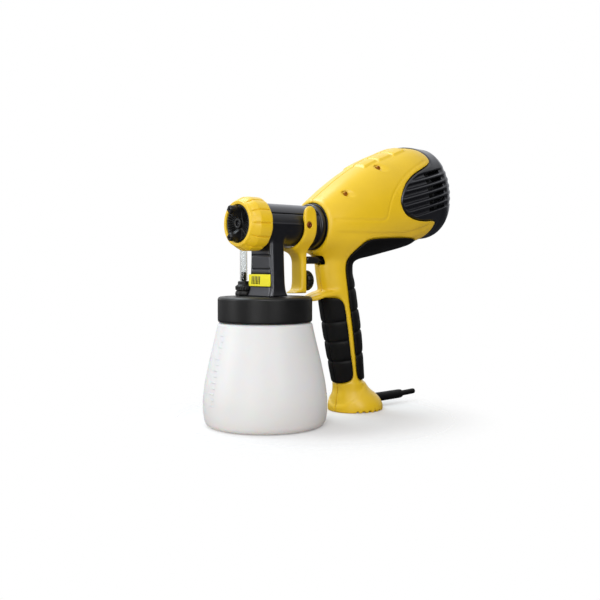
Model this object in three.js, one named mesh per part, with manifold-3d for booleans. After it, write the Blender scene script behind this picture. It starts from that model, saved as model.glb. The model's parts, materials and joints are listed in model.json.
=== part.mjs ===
// Hand-held turbine paint sprayer: a motor handle that blows air, and a spray attachment with its
// paint container that locks into the handle's front. Every separate piece is one named mesh.
// Units are millimetres. +Z is up, the spray leaves towards -X, +Y is the tool's right side, and the
// origin is the centre of the container's base on the floor.
import * as THREE from "three";
import { mergeVertices } from "three/addons/utils/BufferGeometryUtils.js";
import Module from "manifold-3d";

const wasm = await Module();
wasm.setup();

// ---------------------------------------------------------------- driving dimensions
const GAP = 0.3; // clearance between neighbouring pieces
const WALL = 2.5; // moulded shell thickness
const BIG = 400; // longer than the whole tool, for cutting blocks
const SPRAY_Z = 179.5; // height of the spray axis

// Motor housing: side outline at six stations along X, then a rounded rear end.
const HOUSING_X = [56, 85, 115, 145, 175, 205];
const HOUSING_TOP = [204.2, 224.4, 241.9, 254.5, 264.6, 265.3];
const HOUSING_BOTTOM = [154, 149, 151.2, 156.7, 163, 171.5];
const HOUSING_ASPECT = [0.98, 0.88, 0.84, 0.83, 0.83, 0.83]; // half width over half height
const HOUSING_REAR = 241;
const HOUSING_REAR_DROP = 9; // how far the section centre sinks towards the rear
const HOUSING_POWER = 2.2; // superellipse exponent of every section
const REAR_POWER = 1.75;

// Handle and foot: horizontal sections as [height, centre X, half length X, half width Y].
const HANDLE = [
  [16, 107.5, 15, 14.6],
  [30, 104.6, 15.2, 15],
  [45, 102, 16.6, 15.3],
  [80, 96.2, 19.1, 15.9],
  [110, 90.3, 19.3, 15.6],
  [125, 87.2, 19.7, 15.3],
  [138, 84.4, 19.3, 15],
  [150, 85.2, 21.6, 17],
  [158, 90, 30, 21],
  [168, 99, 40, 26],
  [182, 104, 42, 26],
];
const FOOT = [
  [0, 115, 28, 26.5],
  [4, 115, 28.2, 26.7],
  [9, 114.2, 26.6, 25.4],
  [15, 112, 22.8, 22],
  [21, 109, 18.4, 18],
  [28, 106.4, 16, 15.4],
];

// Mouth of the housing, where the spray attachment locks in.
const MOUTH_X = 56;
const MOUTH_R = 22;

// Motor axis: rises to the rear through a point in the middle of the housing.
const MOTOR_TILT = THREE.MathUtils.degToRad(14);
const MOTOR_X = 140;
const MOTOR_Z = 205;

// Barrel, union nut and air cap, all round the spray axis.
const BARREL_R = 19;
const BARREL_BORE = 16.3;
const BARREL_BACK = 50.5;
const SPIGOT_R = 17.3;
const SPIGOT_END = 74;
const FLANGE_R = 20.9;
const SPLIT_Z = 188.7; // underside of the barrel's top cover
const NUT_BACK = -9.5;
const NUT_R = 24;
const NUT_FACETS = 12;
const CAP_FACE = -30.5;
const HORN_LENGTH = 9;

// Neck and lid.
const NECK_X = 2; // centre of the suction bore
const LID_R = 42.4;
const LID_TOP = 115.2;
const LID_FLOOR = 112.4;
const LID_SKIRT = 93;

// Trigger: a yoke round the barrel and a bar below it, hinged level with the spray axis.
const PIVOT_X = 33.2;
const YOKE_R = 23.2;
const YOKE_BORE = 20.2;
const PULL = THREE.MathUtils.degToRad(10); // full trigger travel
const BAR_HALF = 8; // half the width of the finger bar
const BAR_FOOT = 117;
const PEG_DROP = 7; // how far below the pivot the yoke pushes the needle

// Vent hose and valve on the lid's right side.
const VENT_X = -3.8;
const VENT_Y = 26.5;

// ---------------------------------------------------------------- small tools
const X_AXIS = new THREE.Vector3(1, 0, 0);
const Y_AXIS = new THREE.Vector3(0, 1, 0);
const Z_AXIS = new THREE.Vector3(0, 0, 1);
const TO_X = new THREE.Matrix4().makeRotationZ(-Math.PI / 2); // turns +Y into +X
const TO_Z = new THREE.Matrix4().makeRotationX(Math.PI / 2); // turns +Y into +Z, so a drawing stands in X,Z
const FRONT_VIEW = new THREE.Matrix4().makeBasis(Y_AXIS, Z_AXIS, X_AXIS); // x,y become Y,Z

// A closed geometry as a manifold-3d solid.
function solid(geometry) {
  const bare = new THREE.BufferGeometry().setAttribute("position", geometry.getAttribute("position"));
  bare.setIndex(geometry.getIndex());
  const merged = mergeVertices(bare, 1e-4);
  const triVerts = [];
  const index = merged.index.array;
  for (let i = 0; i < index.length; i += 3) {
    const [a, b, c] = index.subarray(i, i + 3);
    if (a !== b && b !== c && a !== c) triVerts.push(a, b, c);
  }
  const mesh = new wasm.Mesh({
    numProp: 3,
    vertProperties: merged.attributes.position.array,
    triVerts: new Uint32Array(triVerts),
  });
  return new wasm.Manifold(mesh);
}

function union(...solids) {
  return solids.reduce((joined, next) => joined.add(next));
}

function cut(body, ...tools) {
  return tools.reduce((left, tool) => left.subtract(tool), body);
}

function box(x0, x1, y0, y1, z0, z1) {
  const geometry = new THREE.BoxGeometry(x1 - x0, y1 - y0, z1 - z0);
  return solid(geometry.translate((x0 + x1) / 2, (y0 + y1) / 2, (z0 + z1) / 2));
}

// A cylinder or cone from a to b along an axis; at holds the other two coordinates in X, Y, Z order.
function rod(axis, radius, a, b, at = [0, 0], sides = 28) {
  const geometry = new THREE.CylinderGeometry(radius, radius, b - a, sides);
  geometry.translate(0, (a + b) / 2, 0);
  if (axis === "x") geometry.applyMatrix4(TO_X).translate(0, at[0], at[1]);
  if (axis === "y") geometry.translate(at[0], 0, at[1]);
  if (axis === "z") geometry.applyMatrix4(TO_Z).translate(at[0], at[1], 0);
  return solid(geometry);
}

// A closed profile of [radius, station] points, turned round an axis.
function turned(axis, profile, at = [0, 0], sides = 24) {
  const points = profile.map(([radius, station]) => new THREE.Vector2(radius, station));
  if (THREE.ShapeUtils.isClockWise(points)) points.reverse();
  const geometry = new THREE.LatheGeometry([...points, points[0].clone()], sides);
  if (axis === "x") geometry.applyMatrix4(TO_X).translate(0, at[0], at[1]);
  if (axis === "z") geometry.applyMatrix4(TO_Z).translate(at[0], at[1], 0);
  return solid(geometry);
}

function ring(axis, outer, inner, a, b, at = [0, 0], sides = 24) {
  const profile = [
    [inner, a],
    [outer, a],
    [outer, b],
    [inner, b],
  ];
  return turned(axis, profile, at, sides);
}

function outline(points) {
  return new THREE.Shape(points.map(([x, y]) => new THREE.Vector2(x, y)));
}

// A drawing of the side view (X, Z) given thickness from y0 to y1.
function sidePlate(shape, y0, y1, curveSegments = 8) {
  const geometry = new THREE.ExtrudeGeometry(shape, { depth: y1 - y0, bevelEnabled: false, curveSegments });
  return solid(geometry.applyMatrix4(TO_Z).translate(0, y1, 0));
}

// A drawing of the front view (Y, Z) given length from x0 to x1.
function frontPlate(shape, x0, x1, curveSegments = 8) {
  const geometry = new THREE.ExtrudeGeometry(shape, { depth: x1 - x0, bevelEnabled: false, curveSegments });
  return solid(geometry.applyMatrix4(FRONT_VIEW).translate(x0, 0, 0));
}

// A drawing of the plan view (X, Y) given height from z0 to z1.
function planPlate(shape, z0, z1, curveSegments = 8) {
  const geometry = new THREE.ExtrudeGeometry(shape, { depth: z1 - z0, bevelEnabled: false, curveSegments });
  return solid(geometry.translate(0, 0, z0));
}

// A round bar or tube along a smooth path of [x, y, z] points.
function sweep(path, radius, bore = 0, steps = 24, sides = 10) {
  const shape = new THREE.Shape().absarc(0, 0, radius, 0, Math.PI * 2);
  if (bore) shape.holes.push(new THREE.Path().absarc(0, 0, bore, 0, Math.PI * 2, true));
  const curve = new THREE.CatmullRomCurve3(path.map((point) => new THREE.Vector3(...point)));
  const curveSegments = sides / 2; // an arc gets two points per segment
  return solid(new THREE.ExtrudeGeometry(shape, { extrudePath: curve, steps, curveSegments }));
}

// A skin over rings of points, closed by flat fans at both ends.
function loft(rings) {
  const count = rings[0].length;
  const positions = rings.flat().flatMap((point) => point.toArray());
  const index = [];
  for (let i = 0; i + 1 < rings.length; i++) {
    for (let j = 0; j < count; j++) {
      const a = i * count + j;
      const b = i * count + ((j + 1) % count);
      index.push(a, b, a + count, b, b + count, a + count);
    }
  }
  const last = (rings.length - 1) * count;
  for (let j = 1; j + 1 < count; j++) {
    index.push(0, j + 1, j);
    index.push(last, last + j, last + j + 1);
  }
  const geometry = new THREE.BufferGeometry();
  geometry.setAttribute("position", new THREE.Float32BufferAttribute(positions, 3));
  geometry.setIndex(index);
  return solid(geometry);
}

function smooth(stations, values) {
  const interpolant = new THREE.CubicInterpolant(stations, values, 1);
  return (at) => interpolant.evaluate(at)[0];
}

// ---------------------------------------------------------------- housing and handle skins
const housingTop = smooth(HOUSING_X, HOUSING_TOP);
const housingBottom = smooth(HOUSING_X, HOUSING_BOTTOM);
const housingAspect = smooth(HOUSING_X, HOUSING_ASPECT);

// Half sizes and centre height of the housing's section at x.
function housingSection(x) {
  const body = Math.min(x, HOUSING_X.at(-1));
  const share = Math.min(Math.max((x - HOUSING_X.at(-1)) / (HOUSING_REAR - HOUSING_X.at(-1)), 0), 1);
  const round = (1 - share ** REAR_POWER) ** (1 / REAR_POWER);
  const halfHeight = ((housingTop(body) - housingBottom(body)) / 2) * round;
  const centre = (housingTop(body) + housingBottom(body)) / 2 - HOUSING_REAR_DROP * share;
  return { centre, halfHeight, halfWidth: halfHeight * housingAspect(body) };
}

// The housing's skin, moved outward by offset; negative gives the inside.
function housingSkin(offset, sides = 24) {
  const rings = [];
  const end = HOUSING_X.at(-1);
  const stations = [MOUTH_X, 68, 84, 104, 126, 150, 175, end];
  for (const share of [0.4, 0.7, 0.88, 0.97, 0.998]) {
    stations.push(end + share * (HOUSING_REAR - end));
  }
  for (const station of stations) {
    const x = station > end ? station + offset * ((station - end) / (HOUSING_REAR - end)) : station;
    const { centre, halfHeight, halfWidth } = housingSection(station);
    const ringPoints = [];
    for (let j = 0; j < sides; j++) {
      const angle = (j / sides) * Math.PI * 2;
      const cos = Math.cos(angle);
      const sin = Math.sin(angle);
      const power = 2 / HOUSING_POWER;
      const y = Math.sign(cos) * Math.abs(cos) ** power * Math.max(halfWidth + offset, 0.5);
      const z = Math.sign(sin) * Math.abs(sin) ** power * Math.max(halfHeight + offset, 0.5);
      ringPoints.push(new THREE.Vector3(x, y, centre + z));
    }
    rings.push(ringPoints);
  }
  return loft(rings);
}

// A column of horizontal elliptic sections, moved outward by offset.
function columnSkin(sections, offset, bottom, top, sides = 20) {
  const heights = sections.map((section) => section[0]);
  const [centre, halfLength, halfWidth] = [1, 2, 3].map((k) =>
    smooth(heights, sections.map((section) => section[k])),
  );
  const levels = [bottom, ...heights.filter((z) => z > bottom && z < top), top];
  const rings = levels.map((z) => {
    const points = [];
    for (let j = 0; j < sides; j++) {
      const angle = (j / sides) * Math.PI * 2;
      const x = centre(z) + Math.cos(angle) * (halfLength(z) + offset);
      points.push(new THREE.Vector3(x, Math.sin(angle) * (halfWidth(z) + offset), z));
    }
    return points;
  });
  return loft(rings);
}

const outerHousing = housingSkin(0);
const innerHousing = housingSkin(-WALL, 16);
const outerHandle = columnSkin(HANDLE, 0, HANDLE[0][0], HANDLE.at(-1)[0]);
const innerHandle = columnSkin(HANDLE, -WALL, HANDLE[0][0], HANDLE.at(-1)[0], 12);
const outerFoot = columnSkin(FOOT, 0, 0, FOOT.at(-1)[0]);
const innerFoot = columnSkin(FOOT, -WALL, 3, FOOT.at(-1)[0], 12);

// The finger guard: a beak that reaches forward below the trigger.
function fingerGuard() {
  const side = outline([
    [48, 110.8],
    [50, 108.8],
    [56, 109.2],
    [64, 112.6],
    [82, 114.6],
    [82, 120.5],
    [67, 118.6],
    [56, 115.8],
    [49, 113.8],
  ]);
  const plan = outline([
    [47, -5],
    [50, -8.5],
    [60, -12],
    [75, -14.5],
    [90, -14.5],
    [90, 14.5],
    [75, 14.5],
    [60, 12],
    [50, 8.5],
    [47, 5],
  ]);
  return sidePlate(side, -20, 20).intersect(planPlate(plan, 100, 130));
}

// Side view of the rear cover: side lobes reach forward between two points of the yellow shells.
function rearCoverOutline(inset = 0) {
  const shape = new THREE.Shape();
  shape.moveTo(164 + inset, 275);
  shape.lineTo(164 + inset, 263.5);
  shape.quadraticCurveTo(188 + inset, 262.5, 189.5 + inset, 253);
  shape.quadraticCurveTo(189 + inset, 247.5, 183 + inset, 244 - inset);
  shape.lineTo(157 + inset, 232 - inset);
  shape.quadraticCurveTo(134 + inset, 216, 136 + inset, 204);
  shape.quadraticCurveTo(139 + inset, 190 + inset, 160 + inset, 187.6 + inset);
  shape.lineTo(193 + inset, 188.6 + inset);
  shape.quadraticCurveTo(198.5 + inset, 188, 197.5 + inset, 181);
  shape.lineTo(196 + inset, 155);
  shape.lineTo(275, 155);
  shape.lineTo(275, 275);
  return shape;
}

// ---------------------------------------------------------------- handle side: shells and trim
const SCREWS = [
  { name: "housing_screw_front", x: 79.7, z: 210, side: -1, reach: 23.6 },
  { name: "housing_screw_top", x: 124, z: 237.7, side: -1, reach: 23.6 },
  { name: "handle_screw", x: 80, z: 126, side: 1, reach: 13.6 },
  { name: "foot_screw", x: 122, z: 18, side: 1, reach: 16 },
];
const SCREW_R = 1.5;
const SCREW_HEAD_R = 3;
const BOSS_R = 4;

// Both shells together, hollow and open at the mouth.
function shellBlank() {
  const outside = union(outerHousing, outerHandle, outerFoot, fingerGuard());
  const inside = union(innerHousing, innerHandle, innerFoot);
  let shell = cut(outside, inside, rod("x", MOUTH_R, MOUTH_X - 1, MOUTH_X + 10, [0, SPRAY_Z]));
  for (const { x, z, reach } of SCREWS) {
    shell = shell.add(rod("y", BOSS_R, -reach, reach, [x, z], 14).intersect(outside));
  }
  for (const { x, z, side, reach } of SCREWS) {
    const a = side < 0 ? -reach - 0.5 : -reach * 0.5;
    const b = side < 0 ? reach * 0.5 : reach + 0.5;
    const head = side < 0 ? [-reach - 20, -reach + 3] : [reach - 3, reach + 20];
    shell = cut(shell, rod("y", SCREW_R + GAP, a, b, [x, z], 12));
    shell = cut(shell, rod("y", SCREW_HEAD_R + GAP, head[0], head[1], [x, z], 12));
  }
  const switchSlot = box(MOUTH_X, 76, -BAR_HALF - 0.6, BAR_HALF + 0.6, 143.9, 152.1);
  const cordHole = rod("x", 5, 131.5, 155, [0, 8.5], 16);
  const coverSpace = sidePlate(rearCoverOutline(), -60, 60);
  return cut(shell, switchSlot, cordHole, coverSpace);
}

const shell = shellBlank();

function leftHousing() {
  return shell.intersect(box(0, BIG, -BIG, -GAP / 2, -1, BIG));
}

function rightHousing() {
  return shell.intersect(box(0, BIG, GAP / 2, BIG, -1, BIG));
}

function housingScrew({ x, z, side, reach }) {
  const tip = -side * (reach * 0.5 - 1);
  const seat = side * (reach - 2.6);
  const top = side * (reach - 0.8);
  const shank = rod("y", SCREW_R, Math.min(tip, seat), Math.max(tip, seat), [x, z], 10);
  const head = rod("y", SCREW_HEAD_R, Math.min(seat, top), Math.max(seat, top), [x, z], 14);
  return shank.add(head);
}

// The black cover over the rear and both flanks, with louvres between its ribs.
function rearCover() {
  const hollow = cut(outerHousing, innerHousing);
  let cover = hollow.intersect(sidePlate(rearCoverOutline(GAP), -60, 60));
  const LOUVRES = 6;
  const PITCH = 6.95;
  const TOP_LOUVRE = 18.9; // above the motor's axis
  const [START, END] = [43, 66.5]; // along the motor's axis
  const SLOT = 2.7;
  const INNER = 14; // the slots stay this far out from the middle
  for (const side of [-1, 1]) {
    for (let i = 0; i < LOUVRES; i++) {
      const slot = new THREE.BoxGeometry(END - START, 60, SLOT);
      slot.translate((START + END) / 2, side * (INNER + 30), TOP_LOUVRE - i * PITCH);
      slot.rotateY(-MOTOR_TILT);
      slot.translate(MOTOR_X, 0, MOTOR_Z);
      cover = cut(cover, solid(slot));
    }
  }
  return cover;
}

// Outline of the strip that runs under the housing and down the handle's back.
function backStripOutline() {
  const shape = new THREE.Shape();
  shape.moveTo(180, 140);
  shape.lineTo(180, 170);
  shape.lineTo(157, 170.6);
  shape.lineTo(104, 167.8);
  shape.quadraticCurveTo(86, 158, 87.4, 140);
  shape.lineTo(91.5, 110);
  shape.lineTo(96.8, 80);
  shape.lineTo(103, 38);
  shape.quadraticCurveTo(105, 32, 110, 31);
  shape.lineTo(140, 31);
  shape.lineTo(140, 140);
  return shape;
}

// Outline of the pad on the front and side of the handle.
function frontPadOutline() {
  const shape = new THREE.Shape();
  shape.moveTo(55, 111.8);
  shape.lineTo(76, 112.4);
  shape.quadraticCurveTo(84.5, 112.4, 86.2, 102);
  shape.lineTo(90.4, 80);
  shape.lineTo(98, 40);
  shape.quadraticCurveTo(98.6, 31, 92, 29);
  shape.lineTo(60, 28);
  return shape;
}

// Half of a soft grip: a skin just outside the shells, kept inside its outline.
function grip(shape, side) {
  const PROUD = 1.5;
  const outside = union(
    housingSkin(PROUD),
    columnSkin(HANDLE, PROUD, HANDLE[1][0] - 4, HANDLE.at(-1)[0]),
  );
  const inside = union(housingSkin(GAP), columnSkin(HANDLE, GAP, HANDLE[0][0], HANDLE.at(-1)[0]));
  const half = side < 0 ? box(0, BIG, -BIG, -GAP / 2, 0, BIG) : box(0, BIG, GAP / 2, BIG, 0, BIG);
  const guard = fingerGuard();
  return cut(outside, inside, guard).intersect(sidePlate(shape, -60, 60, 5)).intersect(half);
}

function socketRing() {
  return ring("x", MOUTH_R - GAP, 18.9, MOUTH_X + 0.3, 79, [0, SPRAY_Z]);
}

// The duct that leads the blower's air from the motor to the socket.
function airDuct() {
  const stations = [
    [79.4, SPRAY_Z, 20.2],
    [90, 184, 23.4],
    [102, 191, 27],
  ];
  function skin(offset, reach) {
    const rings = stations.map(([x, z, radius], i) => {
      const at = x + (i === 0 ? -reach : 0) + (i === stations.length - 1 ? reach : 0);
      const points = [];
      for (let j = 0; j < 24; j++) {
        const angle = (j / 24) * Math.PI * 2;
        const r = radius + offset;
        points.push(new THREE.Vector3(at, Math.cos(angle) * r, z + Math.sin(angle) * r));
      }
      return points;
    });
    return loft(rings);
  }
  return cut(skin(0, 0), skin(-1.6, 0.5));
}

// ---------------------------------------------------------------- blower, along the motor axis
const CAN_R = 25;
const SHAFT_R = 2.5;
const BEARING_R = 8;

function motorCan() {
  return turned("x", [
    [23, -31],
    [CAN_R, -31],
    [CAN_R, 24],
    [10, 24],
    [10, 29],
    [BEARING_R + GAP, 29],
    [BEARING_R + GAP, 24],
    [4, 24],
    [4, 21.5],
    [23, 21.5],
  ]);
}

function motorEndCap() {
  return turned("x", [
    [4, -33.5],
    [BEARING_R + GAP, -33.5],
    [BEARING_R + GAP, -38.5],
    [10, -38.5],
    [10, -33.5],
    [CAN_R, -33.5],
    [CAN_R, -31.3],
    [4, -31.3],
  ]);
}

function armature() {
  const core = rod("x", 17.5, -16, 8, [0, 0], 24);
  const windings = rod("x", 14, -19, 12, [0, 0], 16);
  return cut(core.add(windings), rod("x", SHAFT_R + GAP, -30, 30, [0, 0], 12));
}

function impeller() {
  const plate = rod("x", 32, 34, 35.6);
  const hub = rod("x", 7, 34, 44, [0, 0], 16);
  let wheel = plate.add(hub);
  const BLADES = 7;
  for (let i = 0; i < BLADES; i++) {
    const arc = new THREE.Shape();
    arc.moveTo(6, 0);
    arc.quadraticCurveTo(19, 1, 31, 11);
    arc.lineTo(30.2, 12);
    arc.quadraticCurveTo(19, 2.6, 6, 1.5);
    const blade = new THREE.ExtrudeGeometry(arc, { depth: 9.5, bevelEnabled: false, curveSegments: 3 });
    blade.rotateZ((i / BLADES) * Math.PI * 2);
    blade.applyMatrix4(FRONT_VIEW).translate(35, 0, 0);
    wheel = wheel.add(solid(blade));
  }
  return cut(wheel, rod("x", SHAFT_R + GAP, 20, 60, [0, 0], 12));
}

function fanCasing() {
  const cup = turned("x", [
    [11, 30.2],
    [36, 30.2],
    [36, 48],
    [34.4, 48],
    [34.4, 32],
    [11, 32],
  ]);
  const PORTS = 4;
  let casing = cup;
  for (let i = 0; i < PORTS; i++) {
    const angle = (i / PORTS) * Math.PI * 2;
    const at = [Math.cos(angle) * 27, Math.sin(angle) * 27];
    casing = cut(casing, rod("x", 4, 29, 33, at, 8));
  }
  return casing;
}

// ---------------------------------------------------------------- spray attachment
// Barrel, neck and spigots in one moulding: air flows outside the fluid tube.
function sprayBody() {
  const at = [0, SPRAY_Z];
  const barrel = rod("x", BARREL_R, NUT_BACK + 1, BARREL_BACK, at);
  const thread = rod("x", BARREL_R - 0.6, -22, NUT_BACK + 2, at);
  const flange = rod("x", FLANGE_R, BARREL_BACK, MOUTH_X - 0.3, at);
  const spigot = rod("x", SPIGOT_R, MOUTH_X - 1, SPIGOT_END, at);
  const lugs = box(64, 70, -17.9, 17.9, SPRAY_Z - 4, SPRAY_Z + 4);
  const neckPlan = new THREE.Shape();
  neckPlan.moveTo(-3, -16);
  neckPlan.lineTo(9.5, -16);
  neckPlan.lineTo(9.5, 16);
  neckPlan.lineTo(-3, 16);
  neckPlan.quadraticCurveTo(-5.5, 16, -5.5, 13.5);
  neckPlan.lineTo(-5.5, -13.5);
  neckPlan.quadraticCurveTo(-5.5, -16, -3, -16);
  const neck = planPlate(neckPlan, LID_TOP + GAP, SPRAY_Z - 8, 3);
  const base = box(-8, 12, -17.6, 17.6, LID_TOP + GAP, LID_TOP + 2);
  const panel = box(-8, -4.7, -14.6, 14.6, 140.5, 151);
  const ventArm = rod("y", 3, 15, VENT_Y, [VENT_X, 174], 12);
  const ventBarb = rod("z", 2.2, 162, 174, [VENT_X, VENT_Y], 12);
  const suctionSpigot = rod("z", 7, 103, LID_TOP + 1, [NECK_X, 0], 20);
  const outside = union(
    cut(union(barrel, thread, spigot, lugs, flange), rod("x", BARREL_BORE - 2, 51, 80, at)),
    neck,
    base,
    ventArm,
    ventBarb,
    suctionSpigot,
  );
  const bore = rod("x", BARREL_BORE, -23, 51.5, at);
  const ventBore = union(
    rod("z", 1.1, 160, 174.8, [VENT_X, VENT_Y], 8),
    rod("y", 1.1, 12, VENT_Y + 0.8, [VENT_X, 174], 8),
  );
  const fluidTube = rod("x", 6, -18.5, 25, at, 20);
  const web = box(-5.5, 9.5, -4, 4, 160, SPRAY_Z);
  const springSeat = box(48.2, 50, -16.8, 16.8, SPRAY_Z - 5.5, SPRAY_Z + 5.5);
  const pegSlots = box(27, 40, -BIG, BIG, SPRAY_Z - PEG_DROP - 3, SPRAY_Z - PEG_DROP + 3);
  const pivotBosses = rod("y", 4.5, -17.5, 17.5, [PIVOT_X, SPRAY_Z], 12);
  const bosses = cut(pivotBosses, box(20, 45, -12, 12, 160, 190), pegSlots);
  const hollow = union(cut(outside, bore, ventBore, panel), fluidTube, web, springSeat, bosses);
  const coverSpace = box(-6.3, BARREL_BACK, -30, 30, SPLIT_Z, BIG);
  return cut(
    hollow,
    coverSpace,
    pegSlots,
    rod("x", 2.2, -19, 21, at, 12),
    rod("x", 4.6, 20, 26, at, 16),
    rod("z", 3.4, 114, SPRAY_Z - 1, [NECK_X, 0], 12),
    rod("z", 4.8, 102, 114.5, [NECK_X, 0], 16),
    rod("y", 1.9, -30, 30, [PIVOT_X, SPRAY_Z], 12),
  );
}

// The top cover of the barrel, above its split line.
function barrelCover() {
  const shell = ring("x", BARREL_R, BARREL_BORE, -6, BARREL_BACK - GAP, [0, SPRAY_Z]);
  return shell.intersect(box(-10, 60, -30, 30, SPLIT_Z + GAP, BIG));
}

function nozzle() {
  return turned("x", [
    [2, -20.1],
    [7, -20.1],
    [7, -22.5],
    [4, -24],
    [4, -25.5],
    [1.6, -29.8],
    [0.9, -29.8],
    [2, -26.5],
  ], [0, SPRAY_Z], 14);
}

// The air cap: a dished disc with two horns that shape the fan of air.
function airCap() {
  const disc = turned("x", [
    [2.5, CAP_FACE + 1.6],
    [4.5, CAP_FACE],
    [15.6, CAP_FACE],
    [15.6, -28],
    [18.2, -27.8],
    [18.2, -22.4],
    [16.6, -22.4],
    [14.6, -26.5],
    [3.4, -27.4],
  ], [0, SPRAY_Z]);
  const hornSide = outline([
    [CAP_FACE + 1, 8],
    [CAP_FACE + 1, 15.4],
    [CAP_FACE - HORN_LENGTH, 15.4],
    [CAP_FACE - HORN_LENGTH, 10.6],
    [CAP_FACE - 5, 9.4],
  ]);
  let cap = disc;
  for (const turn of [0, Math.PI]) {
    const horn = new THREE.ExtrudeGeometry(hornSide, { depth: 7, bevelEnabled: false });
    horn.applyMatrix4(TO_Z).translate(0, 3.5, 0).rotateX(turn).translate(0, 0, SPRAY_Z);
    cap = cap.add(solid(horn));
  }
  for (const y of [-9.6, 9.6]) {
    cap = cut(cap, rod("x", 1, -36, -20, [y, SPRAY_Z], 8));
  }
  return cap;
}

// The union nut, with flat finger facets round its wide end.
function unionNut() {
  const skirt = turned("x", [
    [18.9, NUT_BACK],
    [23.4, NUT_BACK],
    [23.6, -22.5],
    [19.7, -31],
    [16.1, -31],
    [16.1, -28.1],
    [18.9, -28.1],
  ], [0, SPRAY_Z], 24);
  let nut = skirt;
  for (let i = 0; i < NUT_FACETS; i++) {
    const pad = new THREE.BoxGeometry(14.4, 9.4, 2.6);
    pad.translate(NUT_BACK - 7.4, 0, NUT_R - 1.5);
    pad.rotateX((i / NUT_FACETS) * Math.PI * 2);
    pad.translate(0, 0, SPRAY_Z);
    nut = nut.add(solid(pad));
  }
  return nut;
}

function needle() {
  return turned("x", [
    [0, -29.2],
    [0.45, -29.2],
    [1.1, -26.6],
    [1.1, 40],
    [0, 40],
  ], [0, SPRAY_Z], 12);
}

// The carrier joins the needle to the yoke's pegs through slots in the barrel.
function needleCarrier() {
  const block = box(29, 38, -10.5, 10.5, SPRAY_Z - 11, SPRAY_Z + 4);
  const slot = box(31.3, 35.1, -BIG, BIG, SPRAY_Z - 12, SPRAY_Z - PEG_DROP + 2);
  return cut(block, slot, rod("x", 1.1 + GAP, 20, 50, [0, SPRAY_Z], 12));
}

function needleSpring() {
  const turns = 3;
  const path = [];
  for (let i = 0; i <= turns * 8; i++) {
    const angle = (i / 8) * Math.PI * 2;
    const along = 40.4 + (i / (turns * 8)) * 7;
    path.push([along, Math.cos(angle) * 4, SPRAY_Z + Math.sin(angle) * 4]);
  }
  return sweep(path, 0.45, 0, turns * 8, 4);
}

function trigger() {
  const front = new THREE.Shape();
  front.moveTo(-YOKE_R, 198);
  front.lineTo(-YOKE_R, SPRAY_Z);
  front.absarc(0, SPRAY_Z, YOKE_R, Math.PI, Math.PI * 1.39, false);
  front.lineTo(-BAR_HALF, 152);
  front.lineTo(-BAR_HALF, BAR_FOOT);
  front.lineTo(BAR_HALF, BAR_FOOT);
  front.lineTo(BAR_HALF, 152);
  front.absarc(0, SPRAY_Z, YOKE_R, Math.PI * 1.61, Math.PI * 2, false);
  front.lineTo(YOKE_R, 198);
  const side = new THREE.Shape();
  side.moveTo(27, 187);
  side.quadraticCurveTo(28, 197.2, 35, 197.2);
  side.quadraticCurveTo(42, 197.2, 43, 187);
  side.lineTo(43.6, 168);
  side.lineTo(44, 150);
  side.lineTo(44, BAR_FOOT);
  side.lineTo(30, BAR_FOOT);
  side.lineTo(30, BAR_FOOT + 1.6);
  side.quadraticCurveTo(36.8, 121, 37, 128);
  side.lineTo(37, 148);
  side.quadraticCurveTo(36, 154, 27, 156.5);
  const blank = frontPlate(front, 20, 50, 7).intersect(sidePlate(side, -30, 30, 4));
  let lever = cut(blank, box(0, 80, -YOKE_BORE, YOKE_BORE, SPRAY_Z, 210));
  for (const turn of [0, 0.5, 1]) {
    const barrel = new THREE.CylinderGeometry(YOKE_BORE, YOKE_BORE, 120, 28).applyMatrix4(TO_X);
    barrel.rotateY(turn * PULL);
    barrel.translate(PIVOT_X, 0, SPRAY_Z);
    lever = cut(lever, solid(barrel));
  }
  for (const side of [-1, 1]) {
    const a = side < 0 ? -YOKE_R + 0.5 : 9;
    const b = side < 0 ? -9 : YOKE_R - 0.5;
    lever = lever.add(rod("y", 1.5, a, b, [PIVOT_X, SPRAY_Z - PEG_DROP], 10));
  }
  const knobHole = rod("x", 2.9, 38.5, 50, [0, 129], 16);
  const pivotHole = rod("y", 2.2, -30, 30, [PIVOT_X, SPRAY_Z], 14);
  const counterbores = cut(rod("y", 3.9, -30, 30, [PIVOT_X, SPRAY_Z], 14), box(0, 80, -21.9, 21.9, 0, BIG));
  return cut(lever, knobHole, pivotHole, counterbores);
}

function triggerScrew(side) {
  const shank = [side * 13.5, side * 22];
  const head = [side * 22.2, side * 23.6];
  const body = rod("y", 1.6, Math.min(...shank) - 0.3, Math.max(...shank) + 0.3, [PIVOT_X, SPRAY_Z], 12);
  return body.add(rod("y", 3.5, Math.min(...head), Math.max(...head), [PIVOT_X, SPRAY_Z], 16));
}

function regulatorKnob() {
  let knob = rod("x", 9.7, 44.6, 52, [0, 129], 36);
  const NOTCHES = 12;
  for (let i = 0; i < NOTCHES; i++) {
    const angle = (i / NOTCHES) * Math.PI * 2;
    const at = [Math.cos(angle) * 10.3, 129 + Math.sin(angle) * 10.3];
    knob = cut(knob, rod("x", 1.1, 40, 60, at, 6));
  }
  return knob.add(rod("x", 2.5, 39, 46, [0, 129], 12));
}

function switchPlunger() {
  const paddle = new THREE.Shape();
  paddle.moveTo(47, 144.5);
  paddle.lineTo(60, 144.5);
  paddle.quadraticCurveTo(62.5, 148, 60, 151.5);
  paddle.lineTo(47, 151.5);
  paddle.quadraticCurveTo(45.4, 151, 45.4, 148);
  paddle.quadraticCurveTo(45.4, 145, 47, 144.5);
  const blade = sidePlate(paddle, -BAR_HALF, BAR_HALF, 4);
  return blade.add(box(60, 82, -3, 3, 146, 150));
}

function switchBody() {
  return cut(box(75, 97, -7, 7, 142, 157.2), box(74, 89, -3.6, 3.6, 145.4, 150.6));
}

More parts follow.
